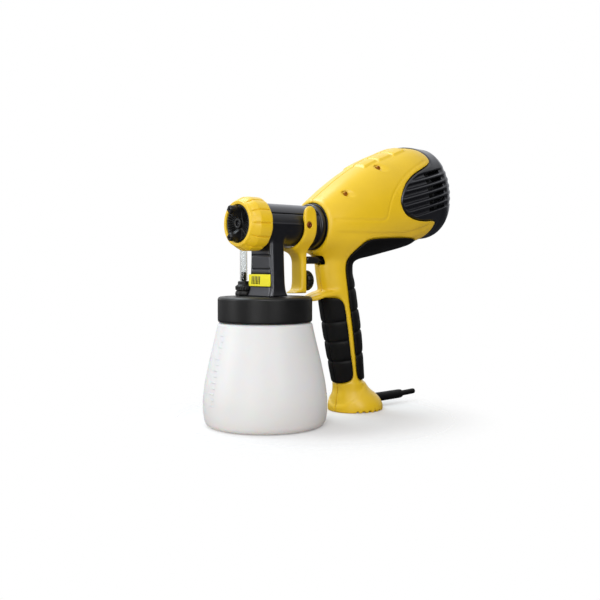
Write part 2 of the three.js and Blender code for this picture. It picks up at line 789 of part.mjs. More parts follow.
// ---------------------------------------------------------------- lid, container, suction, vent
function containerLid() {
  const cap = turned("z", [
    [0, LID_FLOOR],
    [39.8, LID_FLOOR],
    [39.8, LID_SKIRT],
    [LID_R, LID_SKIRT],
    [LID_R, LID_TOP - 1.6],
    [LID_R - 1.6, LID_TOP],
    [0, LID_TOP],
  ], [0, 0], 40);
  const spigotHole = rod("z", 7.3, 105, 120, [NECK_X, 0], 24);
  const ventHole = rod("z", 1.5, 105, 120, [VENT_X, VENT_Y], 10);
  return cut(cap, spigotHole, ventHole);
}

function container() {
  const outer = [
    [0, 0],
    [50, 0],
    [54, 2.4],
    [56.2, 12],
    [56.2, 24],
    [54.2, 38],
    [51.7, 50],
    [49.1, 62],
    [46, 74],
    [43.4, 86],
    [42, 91],
    [38.6, 93.5],
    [38.6, 110.8],
    [36.4, 110.8],
  ];
  const inner = [
    [36.4, 94],
    [40.2, 89.8],
    [41.4, 85.6],
    [44, 73.6],
    [47.1, 61.6],
    [49.7, 49.6],
    [52.2, 37.6],
    [54.2, 24],
    [54.2, 12],
    [50, 2.2],
    [0, 2.2],
  ];
  return turned("z", [...outer, ...inner], [0, 0], 40);
}

function suctionTube() {
  const path = [
    [NECK_X, 0, 113.5],
    [NECK_X, 0, 95],
    [NECK_X, 0, 62],
    [NECK_X - 5, 0, 40],
    [NECK_X - 20, 0, 18],
    [NECK_X - 28, 0, 7],
  ];
  return sweep(path, 4.4, 3.1, 12);
}

function ventValveBody() {
  const profile = [
    [1.2, LID_TOP + GAP],
    [7.9, LID_TOP + GAP],
    [7.9, 120.3],
    [5, 120.3],
    [5, 117.4],
    [1.2, 117.4],
  ];
  return turned("z", profile, [VENT_X, VENT_Y], 14);
}

function ventValveCap() {
  const profile = [
    [1.1, 120.7],
    [7.9, 120.7],
    [7.9, 125.6],
    [5.8, 125.8],
    [5.8, 128.6],
    [2.2, 128.6],
    [2.2, 136.5],
    [1.1, 136.5],
  ];
  return turned("z", profile, [VENT_X, VENT_Y], 14);
}

// ---------------------------------------------------------------- cord
function powerCord() {
  const path = [
    [203, 0, 9],
    [184, 0, 8.6],
    [150, 0, 8.5],
    [130, 0, 8.5],
    [118, 0, 9.5],
    [110, 0, 16],
    [106, 0, 30],
    [103, 0, 50],
  ];
  return sweep(path, 2.8, 0, 18);
}

function strainRelief() {
  const profile = [
    [3.3, 128.5],
    [5.2, 128.5],
    [5.2, 131],
    [4.6, 131],
    [4.6, 181],
    [4.2, 183],
    [3.3, 183],
  ];
  return turned("x", profile, [0, 8.5], 14);
}

// ---------------------------------------------------------------- materials and assembly
const YELLOW = { color: 0xe4be28, roughness: 0.38, metalness: 0 };
const LABEL = { color: 0xffeb1e, roughness: 0.45, metalness: 0 };
const BLACK = { color: 0x1c1d22, roughness: 0.42, metalness: 0 };
const MATT_BLACK = { color: 0x161616, roughness: 0.62, metalness: 0 };
const SOFT_BLACK = { color: 0x121212, roughness: 0.75, metalness: 0 };
const MILKY = { color: 0xe6e6e8, roughness: 0.35, metalness: 0, transparent: true, opacity: 0.9 };
const CLEAR = { color: 0xf2f4f4, roughness: 0.1, metalness: 0, transparent: true, opacity: 0.4 };
const STEEL = { color: 0x9a9ca0, roughness: 0.3, metalness: 1 };
const COPPER = { color: 0xb4623a, roughness: 0.4, metalness: 1 };
const GREY = { color: 0x8d9094, roughness: 0.5, metalness: 0 };

const part = new THREE.Group();
const blower = new THREE.Group();
blower.position.set(MOTOR_X, 0, MOTOR_Z);
blower.rotation.y = -MOTOR_TILT;
part.add(blower);

// Adds one named piece, made from a solid, to a group.
function piece(group, name, body, look) {
  const made = body.getMesh();
  const geometry = new THREE.BufferGeometry();
  geometry.setAttribute("position", new THREE.BufferAttribute(made.vertProperties, 3));
  geometry.setIndex(new THREE.BufferAttribute(made.triVerts, 1));
  geometry.computeVertexNormals();
  const mesh = new THREE.Mesh(geometry, new THREE.MeshStandardMaterial(look));
  mesh.name = name;
  group.add(mesh);
}

const spray = [0, SPRAY_Z];

piece(part, "left_housing", leftHousing(), YELLOW);
piece(part, "right_housing", rightHousing(), YELLOW);
piece(part, "rear_cover", rearCover(), BLACK);
piece(part, "front_grip_left", grip(frontPadOutline(), -1), SOFT_BLACK);
piece(part, "front_grip_right", grip(frontPadOutline(), 1), SOFT_BLACK);
piece(part, "back_grip_left", grip(backStripOutline(), -1), SOFT_BLACK);
piece(part, "back_grip_right", grip(backStripOutline(), 1), SOFT_BLACK);
for (const screw of SCREWS) piece(part, screw.name, housingScrew(screw), STEEL);
piece(part, "socket_ring", socketRing(), BLACK);
piece(part, "socket_seal", ring("x", 18.6, 14.8, 74.4, 76.6, spray), SOFT_BLACK);
piece(part, "air_duct", airDuct(), GREY);
piece(part, "switch_body", switchBody(), MATT_BLACK);
piece(part, "switch_plunger", switchPlunger(), BLACK);
piece(part, "capacitor", rod("z", 6.5, 66, 88, [97.5, 0], 20), GREY);
piece(part, "cord_clamp", cut(box(120, 126.5, -9, 9, 3.3, 12.9), rod("x", 3.6, 110, 140, [0, 8.8], 16)), GREY);
piece(part, "strain_relief", strainRelief(), SOFT_BLACK);
piece(part, "power_cord", powerCord(), SOFT_BLACK);

piece(blower, "motor_can", motorCan(), STEEL);
piece(blower, "motor_end_cap", motorEndCap(), MATT_BLACK);
piece(blower, "motor_mount", ring("x", 33.5, CAN_R + GAP, -22, -14), SOFT_BLACK);
piece(blower, "field_core", ring("x", 22.6, 18.2, -18, 10, [0, 0], 32), COPPER);
piece(blower, "front_bearing", ring("x", BEARING_R, SHAFT_R + GAP, -38.3, -33.8, [0, 0], 24), STEEL);
piece(blower, "rear_bearing", ring("x", BEARING_R, SHAFT_R + GAP, 24.4, 28.9, [0, 0], 24), STEEL);
piece(blower, "brush_left", box(-27.5, -22, -16, -8.6, -2.5, 2.5), MATT_BLACK);
piece(blower, "brush_right", box(-27.5, -22, 8.6, 16, -2.5, 2.5), MATT_BLACK);
piece(blower, "motor_shaft", rod("x", SHAFT_R, -39.5, 49, [0, 0], 16), STEEL);
piece(blower, "armature", armature(), COPPER);
piece(blower, "commutator", ring("x", 8.2, SHAFT_R + GAP, -29, -20.5, [0, 0], 24), COPPER);
piece(blower, "impeller", impeller(), GREY);
piece(blower, "impeller_nut", ring("x", 4.4, SHAFT_R + GAP, 44.4, 47.4, [0, 0], 16), STEEL);
piece(blower, "fan_casing", fanCasing(), MATT_BLACK);
piece(blower, "fan_inlet", ring("x", 36, 17, 48.3, 49.9), MATT_BLACK);
piece(blower, "air_filter", rod("x", 30, 54, 61), GREY);

piece(part, "spray_body", sprayBody(), BLACK);
piece(part, "barrel_cover", barrelCover(), BLACK);
piece(part, "label_plate", box(-6.8, -5.8, -15.2, 15.2, 124.4, 135.2), LABEL);
piece(part, "nozzle_seal", ring("x", 6, 2.6, -19.8, -18.8, spray, 20), SOFT_BLACK);
piece(part, "nozzle", nozzle(), STEEL);
piece(part, "air_cap", airCap(), MATT_BLACK);
piece(part, "union_nut", unionNut(), YELLOW);
piece(part, "needle_packing", ring("x", 4.3, 1.4, 20.4, 24.6, spray, 16), SOFT_BLACK);
piece(part, "needle", needle(), STEEL);
piece(part, "needle_carrier", needleCarrier(), MATT_BLACK);
piece(part, "needle_spring", needleSpring(), STEEL);
piece(part, "trigger", trigger(), YELLOW);
piece(part, "trigger_screw_left", triggerScrew(-1), STEEL);
piece(part, "trigger_screw_right", triggerScrew(1), STEEL);
piece(part, "regulator_knob", regulatorKnob(), MATT_BLACK);
piece(part, "container_lid", containerLid(), MATT_BLACK);
piece(part, "container_seal", ring("z", 39, 33, LID_FLOOR - 1.3, LID_FLOOR - GAP), SOFT_BLACK);
piece(part, "container", container(), MILKY);
piece(part, "suction_tube", suctionTube(), CLEAR);
piece(part, "vent_valve_body", ventValveBody(), MATT_BLACK);
piece(part, "vent_valve_cap", ventValveCap(), MATT_BLACK);
piece(part, "vent_diaphragm", rod("z", 4.6, 118, 119, [VENT_X, VENT_Y], 20), CLEAR);
piece(part, "vent_hose", ring("z", 3.5, 2.5, 129.2, 170.6, [VENT_X, VENT_Y], 16), CLEAR);

export default part;
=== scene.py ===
"""The looks of a hand-held turbine paint sprayer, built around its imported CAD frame.

Moulded shells are signed-distance fields on a block of sample points, in millimetres in the part's
frame, and are meshed where the field is zero. Round parts are turned profiles. Every piece rides on
the CAD body of the node that it stands for.
"""
import functools
import json
import math

import bpy
import numpy as np
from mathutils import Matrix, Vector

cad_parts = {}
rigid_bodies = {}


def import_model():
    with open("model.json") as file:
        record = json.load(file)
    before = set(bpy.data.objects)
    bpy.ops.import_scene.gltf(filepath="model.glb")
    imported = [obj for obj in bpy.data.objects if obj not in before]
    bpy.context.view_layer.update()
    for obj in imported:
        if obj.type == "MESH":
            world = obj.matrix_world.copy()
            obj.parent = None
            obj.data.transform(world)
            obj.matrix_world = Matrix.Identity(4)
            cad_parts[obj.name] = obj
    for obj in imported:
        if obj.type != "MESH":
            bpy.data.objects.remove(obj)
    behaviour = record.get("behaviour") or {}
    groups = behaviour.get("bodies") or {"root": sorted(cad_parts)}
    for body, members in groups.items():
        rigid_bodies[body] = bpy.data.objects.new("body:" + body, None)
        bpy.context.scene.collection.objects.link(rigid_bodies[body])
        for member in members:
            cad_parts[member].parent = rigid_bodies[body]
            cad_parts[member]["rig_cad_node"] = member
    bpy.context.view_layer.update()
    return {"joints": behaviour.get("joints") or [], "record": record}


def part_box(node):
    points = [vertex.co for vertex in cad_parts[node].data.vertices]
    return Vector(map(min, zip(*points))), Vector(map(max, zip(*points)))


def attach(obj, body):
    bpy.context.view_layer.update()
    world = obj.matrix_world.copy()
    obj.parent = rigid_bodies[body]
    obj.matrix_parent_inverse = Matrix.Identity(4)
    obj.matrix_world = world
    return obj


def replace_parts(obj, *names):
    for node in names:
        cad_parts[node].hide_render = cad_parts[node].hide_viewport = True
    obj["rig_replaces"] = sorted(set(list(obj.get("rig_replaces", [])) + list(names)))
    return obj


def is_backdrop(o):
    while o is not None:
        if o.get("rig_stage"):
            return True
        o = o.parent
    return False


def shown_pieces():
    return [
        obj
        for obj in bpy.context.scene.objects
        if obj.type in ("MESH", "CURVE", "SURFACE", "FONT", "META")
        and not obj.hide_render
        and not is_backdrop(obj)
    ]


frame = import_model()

import openvdb as vdb
from mathutils import Vector

MM = 0.001
BODY_OF = {node: body for body, nodes in frame["record"]["behaviour"]["bodies"].items() for node in nodes}
SLOT_OF = {part["node"]: part["material_slot"] for part in frame["record"]["subparts"]}


def show(obj):
    bpy.context.scene.collection.objects.link(obj)


def box_mm(node):
    low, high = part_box(node)
    return np.array(low) / MM, np.array(high) / MM


# ---------- places, from the frame
SPRAY_Z = float(np.mean([corner[2] for corner in box_mm("nozzle_seal")]))
MOUTH_X = float(box_mm("socket_ring")[0][0]) - 0.3
MOUTH_R = float(box_mm("socket_ring")[1][1]) + 0.3
NUT_FRONT = float(box_mm("union_nut")[0][0])
NUT_BACK = float(box_mm("union_nut")[1][0])
LID_LOW, LID_HIGH = box_mm("container_lid")
LID_R, LID_TOP, LID_SKIRT = float(LID_HIGH[1]), float(LID_HIGH[2]), float(LID_LOW[2])
PIVOT_X = float(np.mean([corner[0] for corner in box_mm("trigger_screw_left")]))
KNOB_END = float(box_mm("regulator_knob")[1][0])
VENT_X, VENT_Y = [float(v) for v in np.mean(box_mm("vent_hose"), axis=0)[:2]]
HOUSING_REAR = float(box_mm("rear_cover")[1][0])
MOTOR = frame["joints"][[j["name"] for j in frame["joints"]].index("rotor_spin")]
MOTOR_X, MOTOR_Z = MOTOR["pos_m"][0] / MM, MOTOR["pos_m"][2] / MM
AXIS_X, AXIS_Z = MOTOR["axis"][0], MOTOR["axis"][2]

# ---------- shapes of the moulded skins, mm
HOUSING_X = [56, 85, 115, 145, 175, 205]
HOUSING_TOP = [204.2, 224.4, 241.9, 254.5, 264.6, 265.3]
HOUSING_BOTTOM = [154, 149, 151.2, 156.7, 163, 171.5]
HOUSING_ASPECT = [0.98, 0.88, 0.84, 0.83, 0.83, 0.83]
HOUSING_POWER = 2.2
REAR_POWER = 1.75
REAR_DROP = 9
HANDLE = [  # height, middle X, half length, half width
    (16, 107.5, 15, 14.6), (30, 104.6, 15.2, 15), (45, 102, 16.6, 15.3), (80, 96.2, 19.1, 15.9),
    (110, 90.3, 19.3, 15.6), (125, 87.2, 19.7, 15.3), (138, 84.4, 19.3, 15), (150, 85.2, 21.6, 17),
    (158, 90, 30, 21), (168, 99, 40, 26), (182, 104, 42, 26),
]
FOOT = [  # as for the handle
    (0, 115, 28, 26.5), (4, 115, 28.2, 26.7), (9, 114.4, 27.0, 25.6), (15, 112.6, 23.8, 22.4),
    (21, 109.3, 18.9, 18.2), (28, 106.4, 16, 15.4),
]
WALL = 2.5
PAD_PROUD = 1.5
SEAM = 0.06
COVER_OUTLINE = [
    (160, 275), (160, 275), (160, 264), (160, 264), (174, 263), (184, 260.5), (189, 253.5), (187, 246.8),
    (174.7, 240.6), (159.5, 233.1), (146, 222.5), (138.3, 209), (138.8, 201), (145.5, 193.5), (158.9, 189),
    (176, 187.8), (192, 189), (198.2, 187.2), (199, 181), (197.4, 170), (196, 155), (196, 155),
    (275, 155), (275, 155), (275, 275), (275, 275),
]
CONTOUR_LINE = [
    (62, 185.2), (100, 185.5), (114, 185.8), (119.5, 188.5), (121.5, 195), (124, 204), (129, 213),
    (135.3, 220.2), (143, 227.4), (153, 234.4), (162.6, 240.3), (172, 244.6), (179.3, 248.2),
]
CREASE_LINE = [(62, 175.2), (90, 175.3), (130, 175.9), (153, 177), (172, 181.6), (190, 187.4)]
BACK_STRIP = [
    (182, 140), (182, 140), (180, 170), (180, 170), (157, 170.8), (120, 169.5), (103, 167.4), (95.5, 162.4),
    (90, 154.6), (87.6, 146), (87.6, 138), (91, 110), (96, 80), (100, 54), (102.5, 38), (106, 31.5),
    (112, 31), (140, 31), (140, 31), (140, 140), (140, 140),
]
FRONT_PAD = [
    (55, 111.8), (55, 111.8), (72, 112.6), (80, 111.5), (84.8, 106.5), (87, 98), (90.4, 80), (94, 60),
    (97.6, 41), (97.3, 33), (92, 29), (80, 26.5), (60, 26), (60, 26),
]
FRONT_GROOVES = [90.6, 71, 51]
BACK_GROOVES = [119, 98, 77, 54]
GUARD_SIDE = [
    (48, 110.8), (50, 108.8), (56, 109.2), (64, 112.2), (84, 113.6), (84, 121), (67, 118.8), (56, 115.8),
    (49, 113.6),
]
GUARD_PLAN = [
    (47, -5), (50, -8.5), (60, -12), (75, -14.5), (90, -14.5), (90, 14.5), (75, 14.5), (60, 12), (50, 8.5),
    (47, 5),
]
FOOT_FOLD = [(91, 8.9), (111, 24)]  # a soft fold across the foot
TOP_PADS = [(112, 128.5, 15), (130.5, 148, 17), (150, 166, 18.5)]  # from X, to X, half width
SIDE_SCREWS = [(79.7, 210), (124, 237.7)]  # on the left shell
LOW_SCREWS = [(80, 126), (122, 18)]  # on the right shell
LOUVRE_TOP = 18.9  # above the motor axis
LOUVRE_PITCH = 6.95
LOUVRES = 6
LOUVRE_SPAN = (40, 67.5)  # along the motor axis, where the slots go right through
COVER_SPINE = 14  # half width of the rear cover's middle, which has no slots
SWITCH_SLOT = ((40, 76), 6.6, (143.9, 152.1))  # X, half width, Z
FOOT_NOTCHES = (56, 132, 15)  # degrees round the foot: from, to, pitch
CORD_Z = 8.5
BARREL_R = 19
BARREL_END = 50.5  # its flange starts here
BARREL_BORE = 16.3
BARREL_SPLIT = 188.7  # the top cover lies above this
NECK_X = 2.9
NECK_FRONT = -5.5
STEM_X = 2  # the suction tube's line
PANEL_Z = 145.75  # middle of the framed panel on the neck
PLATE_Z = 129.8
YOKE_R = 23.2
YOKE_BORE = 20.25
TRIGGER_PULL = (0, 5, 10)  # degrees at which the yoke has to clear the barrel
KNOB_Z = 129
HORN_OUT = 12.0  # from the cap's centre
SCALE_AZIMUTH = 174  # degrees round the container
SCREWS = ("housing_screw_front", "housing_screw_top", "handle_screw", "foot_screw")
PIVOT_SCREWS = ("trigger_screw_left", "trigger_screw_right")


# ---------- fields
def smin(a, b, k):
    h = np.clip(0.5 + 0.5 * (b - a) / k, 0, 1)
    return b + (a - b) * h - k * h * (1 - h)


def smax(a, b, k):
    return -smin(-a, -b, k)


def meet(*fields):
    """Where every field holds."""
    return functools.reduce(np.maximum, fields)


def join(*fields):
    """Where any field holds."""
    return functools.reduce(np.minimum, fields)


def ease(t):
    t = np.clip(t, 0, 1)
    return t * t * (3 - 2 * t)


def smooth(stations, values):
    """A smooth curve through values at stations."""
    xs, ys = np.array(stations, float), np.array(values, float)
    slopes = np.gradient(ys, xs)

    def at(x):
        i = np.clip(np.searchsorted(xs, x) - 1, 0, len(xs) - 2)
        h = xs[i + 1] - xs[i]
        t = (x - xs[i]) / h
        start = (2 * t**3 - 3 * t**2 + 1) * ys[i] + (t**3 - 2 * t**2 + t) * h * slopes[i]
        return start + (3 * t**2 - 2 * t**3) * ys[i + 1] + (t**3 - t**2) * h * slopes[i + 1]

    return at


def flowing(points, closed=True, steps=6):
    """A smooth line through points; a point given twice is a corner."""
    p = np.array(points, float)
    n = len(p)
    made = []
    for i in range(n if closed else n - 1):
        if closed:
            a, b, c, d = p[i - 1], p[i], p[(i + 1) % n], p[(i + 2) % n]
        else:
            a, b, c, d = p[max(i - 1, 0)], p[i], p[i + 1], p[min(i + 2, n - 1)]
        if np.allclose(b, c):
            continue
        for t in np.arange(steps) / steps:
            bend = (2 * a - 5 * b + 4 * c - d) * t**2 + (3 * b - a - 3 * c + d) * t**3
            made.append(b + 0.5 * ((c - a) * t + bend))
    if not closed:
        made.append(p[-1])
    return np.array(made)


def line_distance(points, u, v, closed):
    """Distance in a plane to a line of points, and where a closed one holds the point."""
    shape = np.broadcast(u, v).shape
    nearest = np.full(shape, 1e6, np.float32)
    inside = np.zeros(shape, bool)
    ends = list(zip(points, np.roll(points, -1, axis=0)))
    for (ax, ay), (bx, by) in ends if closed else ends[:-1]:
        ex, ey = bx - ax, by - ay
        t = np.clip(((u - ax) * ex + (v - ay) * ey) / max(ex * ex + ey * ey, 1e-9), 0, 1)
        nearest = np.minimum(nearest, (u - ax - ex * t) ** 2 + (v - ay - ey * t) ** 2)
        if ey:
            inside ^= ((ay > v) != (by > v)) & (u < ax + (v - ay) * ex / ey)
    return np.sqrt(nearest), inside


def outline(points, u, v):
    """Signed distance in a plane to a closed outline."""
    distance, inside = line_distance(np.array(points, float), u, v, True)
    return np.where(inside, -distance, distance)


def slab(u, low, high):
    return np.maximum(low - u, u - high)


def walls(a, b, corner):
    """Two pairs of walls that meet in rounded corners."""
    a, b = a + corner, b + corner
    return np.sqrt(np.maximum(a, 0) ** 2 + np.maximum(b, 0) ** 2) + np.minimum(np.maximum(a, b), 0) - corner


class Block:
    """A box of sample points. x, y and z broadcast to its shape."""

    def __init__(self, low, high, step):
        self.low = np.array(low, float)
        self.step = step * 1
        counts = np.ceil((np.array(high) - self.low) / self.step).astype(int) + 1
        axes = [self.low[k] + self.step * np.arange(counts[k]) for k in range(3)]
        grids = np.meshgrid(*axes, indexing="ij", sparse=True)
        self.x, self.y, self.z = [grid.astype(np.float32) for grid in grids]
        self.shape = tuple(int(c) for c in counts)

    def loft(self, rings, band=9.0):
        """Distance to the closed skin over rings of points, up to band away from it."""
        rings = np.array(rings, float)
        count, around = rings.shape[:2]
        i, j = np.meshgrid(np.arange(count - 1), np.arange(around), indexing="ij")
        a, b = i * around + j, i * around + (j + 1) % around
        quads = np.stack([a, b, b + around, a + around], -1).reshape(-1, 4)
        k = np.arange(1, around - 1)
        last = (count - 1) * around
        first_cap = np.stack([0 * k, k + 1, k], -1)
        last_cap = np.stack([0 * k + last, last + k, last + k + 1], -1)
        points = (rings.reshape(-1, 3) - self.low) / self.step
        grid = vdb.FloatGrid.createLevelSetFromPolygons(
            points.astype(np.float32),
            triangles=np.concatenate([first_cap, last_cap]).astype(np.uint32),
            quads=quads.astype(np.uint32),
            halfWidth=band / self.step,
        )
        field = np.zeros(self.shape, np.float32)
        grid.copyToArray(field)
        return field * self.step

    def off_axis(self, along, at):
        """Distance from a straight line along x, y or z."""
        u, v = {"x": (self.y, self.z), "y": (self.x, self.z), "z": (self.x, self.y)}[along]
        return np.sqrt((u - at[0]) ** 2 + (v - at[1]) ** 2)

    def mesh(self, name, field, node, mirrored=False):
        """A mesh object where field is zero, shaded by the field's own slope."""
        limit = 3 * self.step
        field = np.clip(np.broadcast_to(field, self.shape), -limit, limit).astype(np.float32)
        for axis in range(3):
            for end in (0, -1):
                side = [slice(None)] * 3
                side[axis] = end
                field[tuple(side)] = limit
        grid = vdb.FloatGrid(limit)
        grid.copyFromArray(field)
        points, quads = grid.convertToQuads(0.0)
        slopes = [interpolate(g, points) for g in np.gradient(field)]
        normals = np.stack(slopes, -1)
        normals /= np.maximum(np.linalg.norm(normals, axis=1, keepdims=True), 1e-6)
        points = self.low + points.astype(float) * self.step
        if mirrored:
            points[:, 1] *= -1
            normals[:, 1] *= -1
        return new_mesh(name, points, quads, node, normals)


def interpolate(values, points):
    """values, an array on whole-number places, read between them at points."""
    base = np.clip(np.floor(points).astype(int), 0, np.array(values.shape) - 2)
    share = points - base
    total = np.zeros(len(points))
    for corner in np.ndindex(2, 2, 2):
        weight = np.prod(np.where(np.array(corner) == 1, share, 1 - share), axis=1)
        at = base + corner
        total += weight * values[at[:, 0], at[:, 1], at[:, 2]]
    return total


# ---------- meshes
def new_mesh(name, points, faces, node, normals=None, stands_for=True):
    """A closed mesh object, points in mm, facing out, on a CAD node's body and in its place."""
    points = np.asarray(points, float)
    faces = [list(map(int, f)) for f in faces]
    first = np.array([f[:3] for f in faces])
    fans = [first]
    if any(len(f) == 4 for f in faces):
        fans.append(np.array([[f[0], f[2], f[3]] for f in faces if len(f) == 4]))
    tri = points[np.concatenate(fans)]
    if np.einsum("ij,ij->", tri[:, 0], np.cross(tri[:, 1], tri[:, 2])) < 0:
        faces = [f[::-1] for f in faces]
    data = bpy.data.meshes.new(name)
    data.from_pydata((points * MM).tolist(), [], faces)
    data.polygons.foreach_set("use_smooth", [True] * len(data.polygons))
    if normals is not None:
        data.normals_split_custom_set_from_vertices(normals.tolist())
    obj = bpy.data.objects.new(name, data)
    show(obj)
    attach(obj, BODY_OF[node])
    if stands_for:
        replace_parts(obj, node)
    return obj


def rounded(profile, radius, steps=4):
    """A closed profile with its corners rounded; a point with a third value has its own radius."""
    made = []
    n = len(profile)
    for i in range(n):
        here = np.array(profile[i][:2], float)
        before = np.array(profile[i - 1][:2], float) - here
        after = np.array(profile[(i + 1) % n][:2], float) - here
        size = profile[i][2] if len(profile[i]) > 2 else radius
        size = min(size, 0.45 * np.linalg.norm(before), 0.45 * np.linalg.norm(after))
        if size < 0.02 or here[0] < 1e-6:
            made.append(here)
            continue
        back, on = before / np.linalg.norm(before), after / np.linalg.norm(after)
        a, b = here + back * size, here + on * size
        brace = min(0.25, 0.02 * np.linalg.norm(before), 0.02 * np.linalg.norm(after))
        made.append(a + back * brace)
        for t in np.linspace(0, 1, steps + 1):
            made.append((1 - t) ** 2 * a + 2 * t * (1 - t) * here + t**2 * b)
        made.append(b + on * brace)
    return np.array(made)


def turned(name, node, profile, along, at, segments=96, radius=0.5, shape=None):
    """A profile of (radius, station) turned about an axis. shape(angle, radius, station) adds to radius."""
    p = rounded(profile, radius)
    angles = np.arange(segments) / segments * 2 * math.pi
    r = np.repeat(p[:, :1], segments, 1)
    s = np.repeat(p[:, 1:2], segments, 1)
    if shape is not None:
        r = r + shape(angles[None, :], r, s)
    a, b = r * np.cos(angles), r * np.sin(angles)
    points = {"x": (s, at[0] + a, at[1] + b), "y": (at[0] + a, s, at[1] + b), "z": (at[0] + a, at[1] + b, s)}
    points = np.stack(points[along], -1).reshape(-1, 3)
    count = len(p)
    on_axis = p[:, 0] < 1e-6
    index = np.arange(count * segments).reshape(count, segments)
    for i in np.nonzero(on_axis)[0]:
        index[i] = index[i, 0]
    faces = []
    for i in range(count):
        k = (i + 1) % count
        if on_axis[i] and on_axis[k]:
            continue
        for j in range(segments):
            m = (j + 1) % segments
            face = [index[i, j], index[i, m], index[k, m], index[k, j]]
            faces.append(list(dict.fromkeys(int(f) for f in face)))
    used = sorted({f for face in faces for f in face})
    place = {old: new for new, old in enumerate(used)}
    faces = [[place[f] for f in face] for face in faces]
    new_mesh(name, points[used], faces, node).data.set_sharp_from_angle(angle=math.radians(40))


# ---------- materials
CLOUD_SIZE = 28  # mm
SHEEN_SIZE = 9
GRAIN_DEPTH = 0.12


def mapped(tree, value, start, end, low, high, kind="LINEAR"):
    """value, a node's output, spread from low at start to high at end."""
    scale = tree.nodes.new("ShaderNodeMapRange")
    scale.interpolation_type = kind
    settings = {"From Min": start, "From Max": end, "To Min": low, "To Max": high}
    for key, number in settings.items():
        scale.inputs[key].default_value = number
    tree.links.new(value, scale.inputs["Value"])
    return scale.outputs["Result"]


def material(name, seen, rough, grain=0.5, bump=0.1, shade=0.9, **extra):
    """Moulded or machined stock: cloudy colour, uneven sheen and a fine surface grain.

    seen is the colour as seen, 0 to 255; grain is the size of the surface grain in mm, bump its
    strength and shade the darkest cloud. extra goes to the shader's inputs of those names.
    """
    colour = [((c / 255 + 0.055) / 1.055) ** 2.4 for c in seen] + [1]
    made = bpy.data.materials.new(name)
    made.use_nodes = True
    tree = made.node_tree
    add, link = tree.nodes.new, tree.links.new
    shader = tree.nodes["Principled BSDF"]
    place = add("ShaderNodeTexCoord")

    def noise(size_mm, detail):
        texture = add("ShaderNodeTexNoise")
        texture.inputs["Scale"].default_value = 1 / (size_mm * MM)
        texture.inputs["Detail"].default_value = detail
        link(place.outputs["Object"], texture.inputs["Vector"])
        return texture.outputs["Fac"]

    cloud = add("ShaderNodeMix")
    cloud.data_type = "RGBA"
    cloud.inputs["A"].default_value = [c * shade for c in colour[:3]] + [1]
    cloud.inputs["B"].default_value = colour
    link(mapped(tree, noise(CLOUD_SIZE, 3), 0.3, 0.7, 0, 1), cloud.inputs["Factor"])
    link(cloud.outputs["Result"], shader.inputs["Base Color"])
    sheen = mapped(tree, noise(SHEEN_SIZE, 4), 0.3, 0.7, rough * 0.9, min(rough * 1.12, 1))
    link(sheen, shader.inputs["Roughness"])
    relief = add("ShaderNodeBump")
    relief.inputs["Strength"].default_value = bump
    relief.inputs["Distance"].default_value = GRAIN_DEPTH * MM
    link(noise(grain, 2), relief.inputs["Height"])
    link(relief.outputs["Normal"], shader.inputs["Normal"])
    for key, value in extra.items():
        shader.inputs[key.replace("_", " ")].default_value = value
    return made


FINISHES = {
    "yellow_plastic": dict(
        seen=(236, 195, 12), rough=0.38, grain=0.45, shade=0.95, Coat_Weight=0.5, Coat_Roughness=0.42,
    ),
    "label_plastic": dict(seen=(255, 244, 30), rough=0.45, grain=0.3, bump=0.08, shade=0.95),
    "black_plastic": dict(
        seen=(12, 12, 17), rough=0.34, grain=0.4, shade=0.75, Specular_IOR_Level=1.0,
        Coat_Weight=0.45, Coat_Roughness=0.3, Coat_Tint=(0.8, 0.85, 1, 1),
    ),
    "matt_black_plastic": dict(
        seen=(17, 17, 18), rough=0.42, grain=0.45, bump=0.16, shade=0.8, Specular_IOR_Level=0.45,
    ),
    "soft_grip": dict(
        seen=(10, 10, 11), rough=0.55, grain=0.6, bump=0.35, shade=0.75, Specular_IOR_Level=0.25,
    ),
    "milky_plastic": dict(
        seen=(224, 222, 224), rough=0.4, grain=1.2, bump=0.05, shade=0.985,
        Subsurface_Weight=0.3, Subsurface_Scale=0.006,
    ),
    "clear_plastic": dict(
        seen=(245, 248, 248), rough=0.1, grain=6.0, bump=0.003, shade=0.98, Transmission_Weight=1.0,
    ),
    "steel": dict(seen=(168, 168, 172), rough=0.3, grain=0.25, shade=0.85, Metallic=1.0),
    # Metal of the four frame screws. Its dark orange-brown is painted shade: the tone of the shaded yellow
    # pockets the screw heads sit in.
    "screw_metal_painted_shade": dict(
        seen=(186, 118, 30), rough=0.5, grain=0.25, bump=0.15, shade=0.7, Metallic=0.5,
    ),
    "brass": dict(seen=(190, 110, 66), rough=0.34, grain=0.25, shade=0.8, Metallic=1.0),
    "copper": dict(seen=(184, 104, 62), rough=0.4, bump=0.6, shade=0.7, Metallic=1.0),
    "grey_plastic": dict(seen=(148, 150, 154), rough=0.5, bump=0.25, shade=0.88),
    "filter_foam": dict(seen=(60, 62, 66), rough=0.9, grain=1.4, bump=1.0, shade=0.45),
    "dark_steel": dict(seen=(74, 75, 80), rough=0.38, grain=0.25, shade=0.8, Metallic=1.0),
    "label_ink": dict(seen=(30, 28, 16), rough=0.5, grain=0.3, bump=0.08, shade=0.8),
}
LOOKS = {name: material(name, **values) for name, values in FINISHES.items()}
OWN_LOOK = {
    "air_filter": "filter_foam",
    "nozzle": "dark_steel",
    # the frame screws take the painted-shade tone of their pockets
    **{node: "screw_metal_painted_shade" for node in SCREWS},
    **{node: "brass" for node in PIVOT_SCREWS},
}


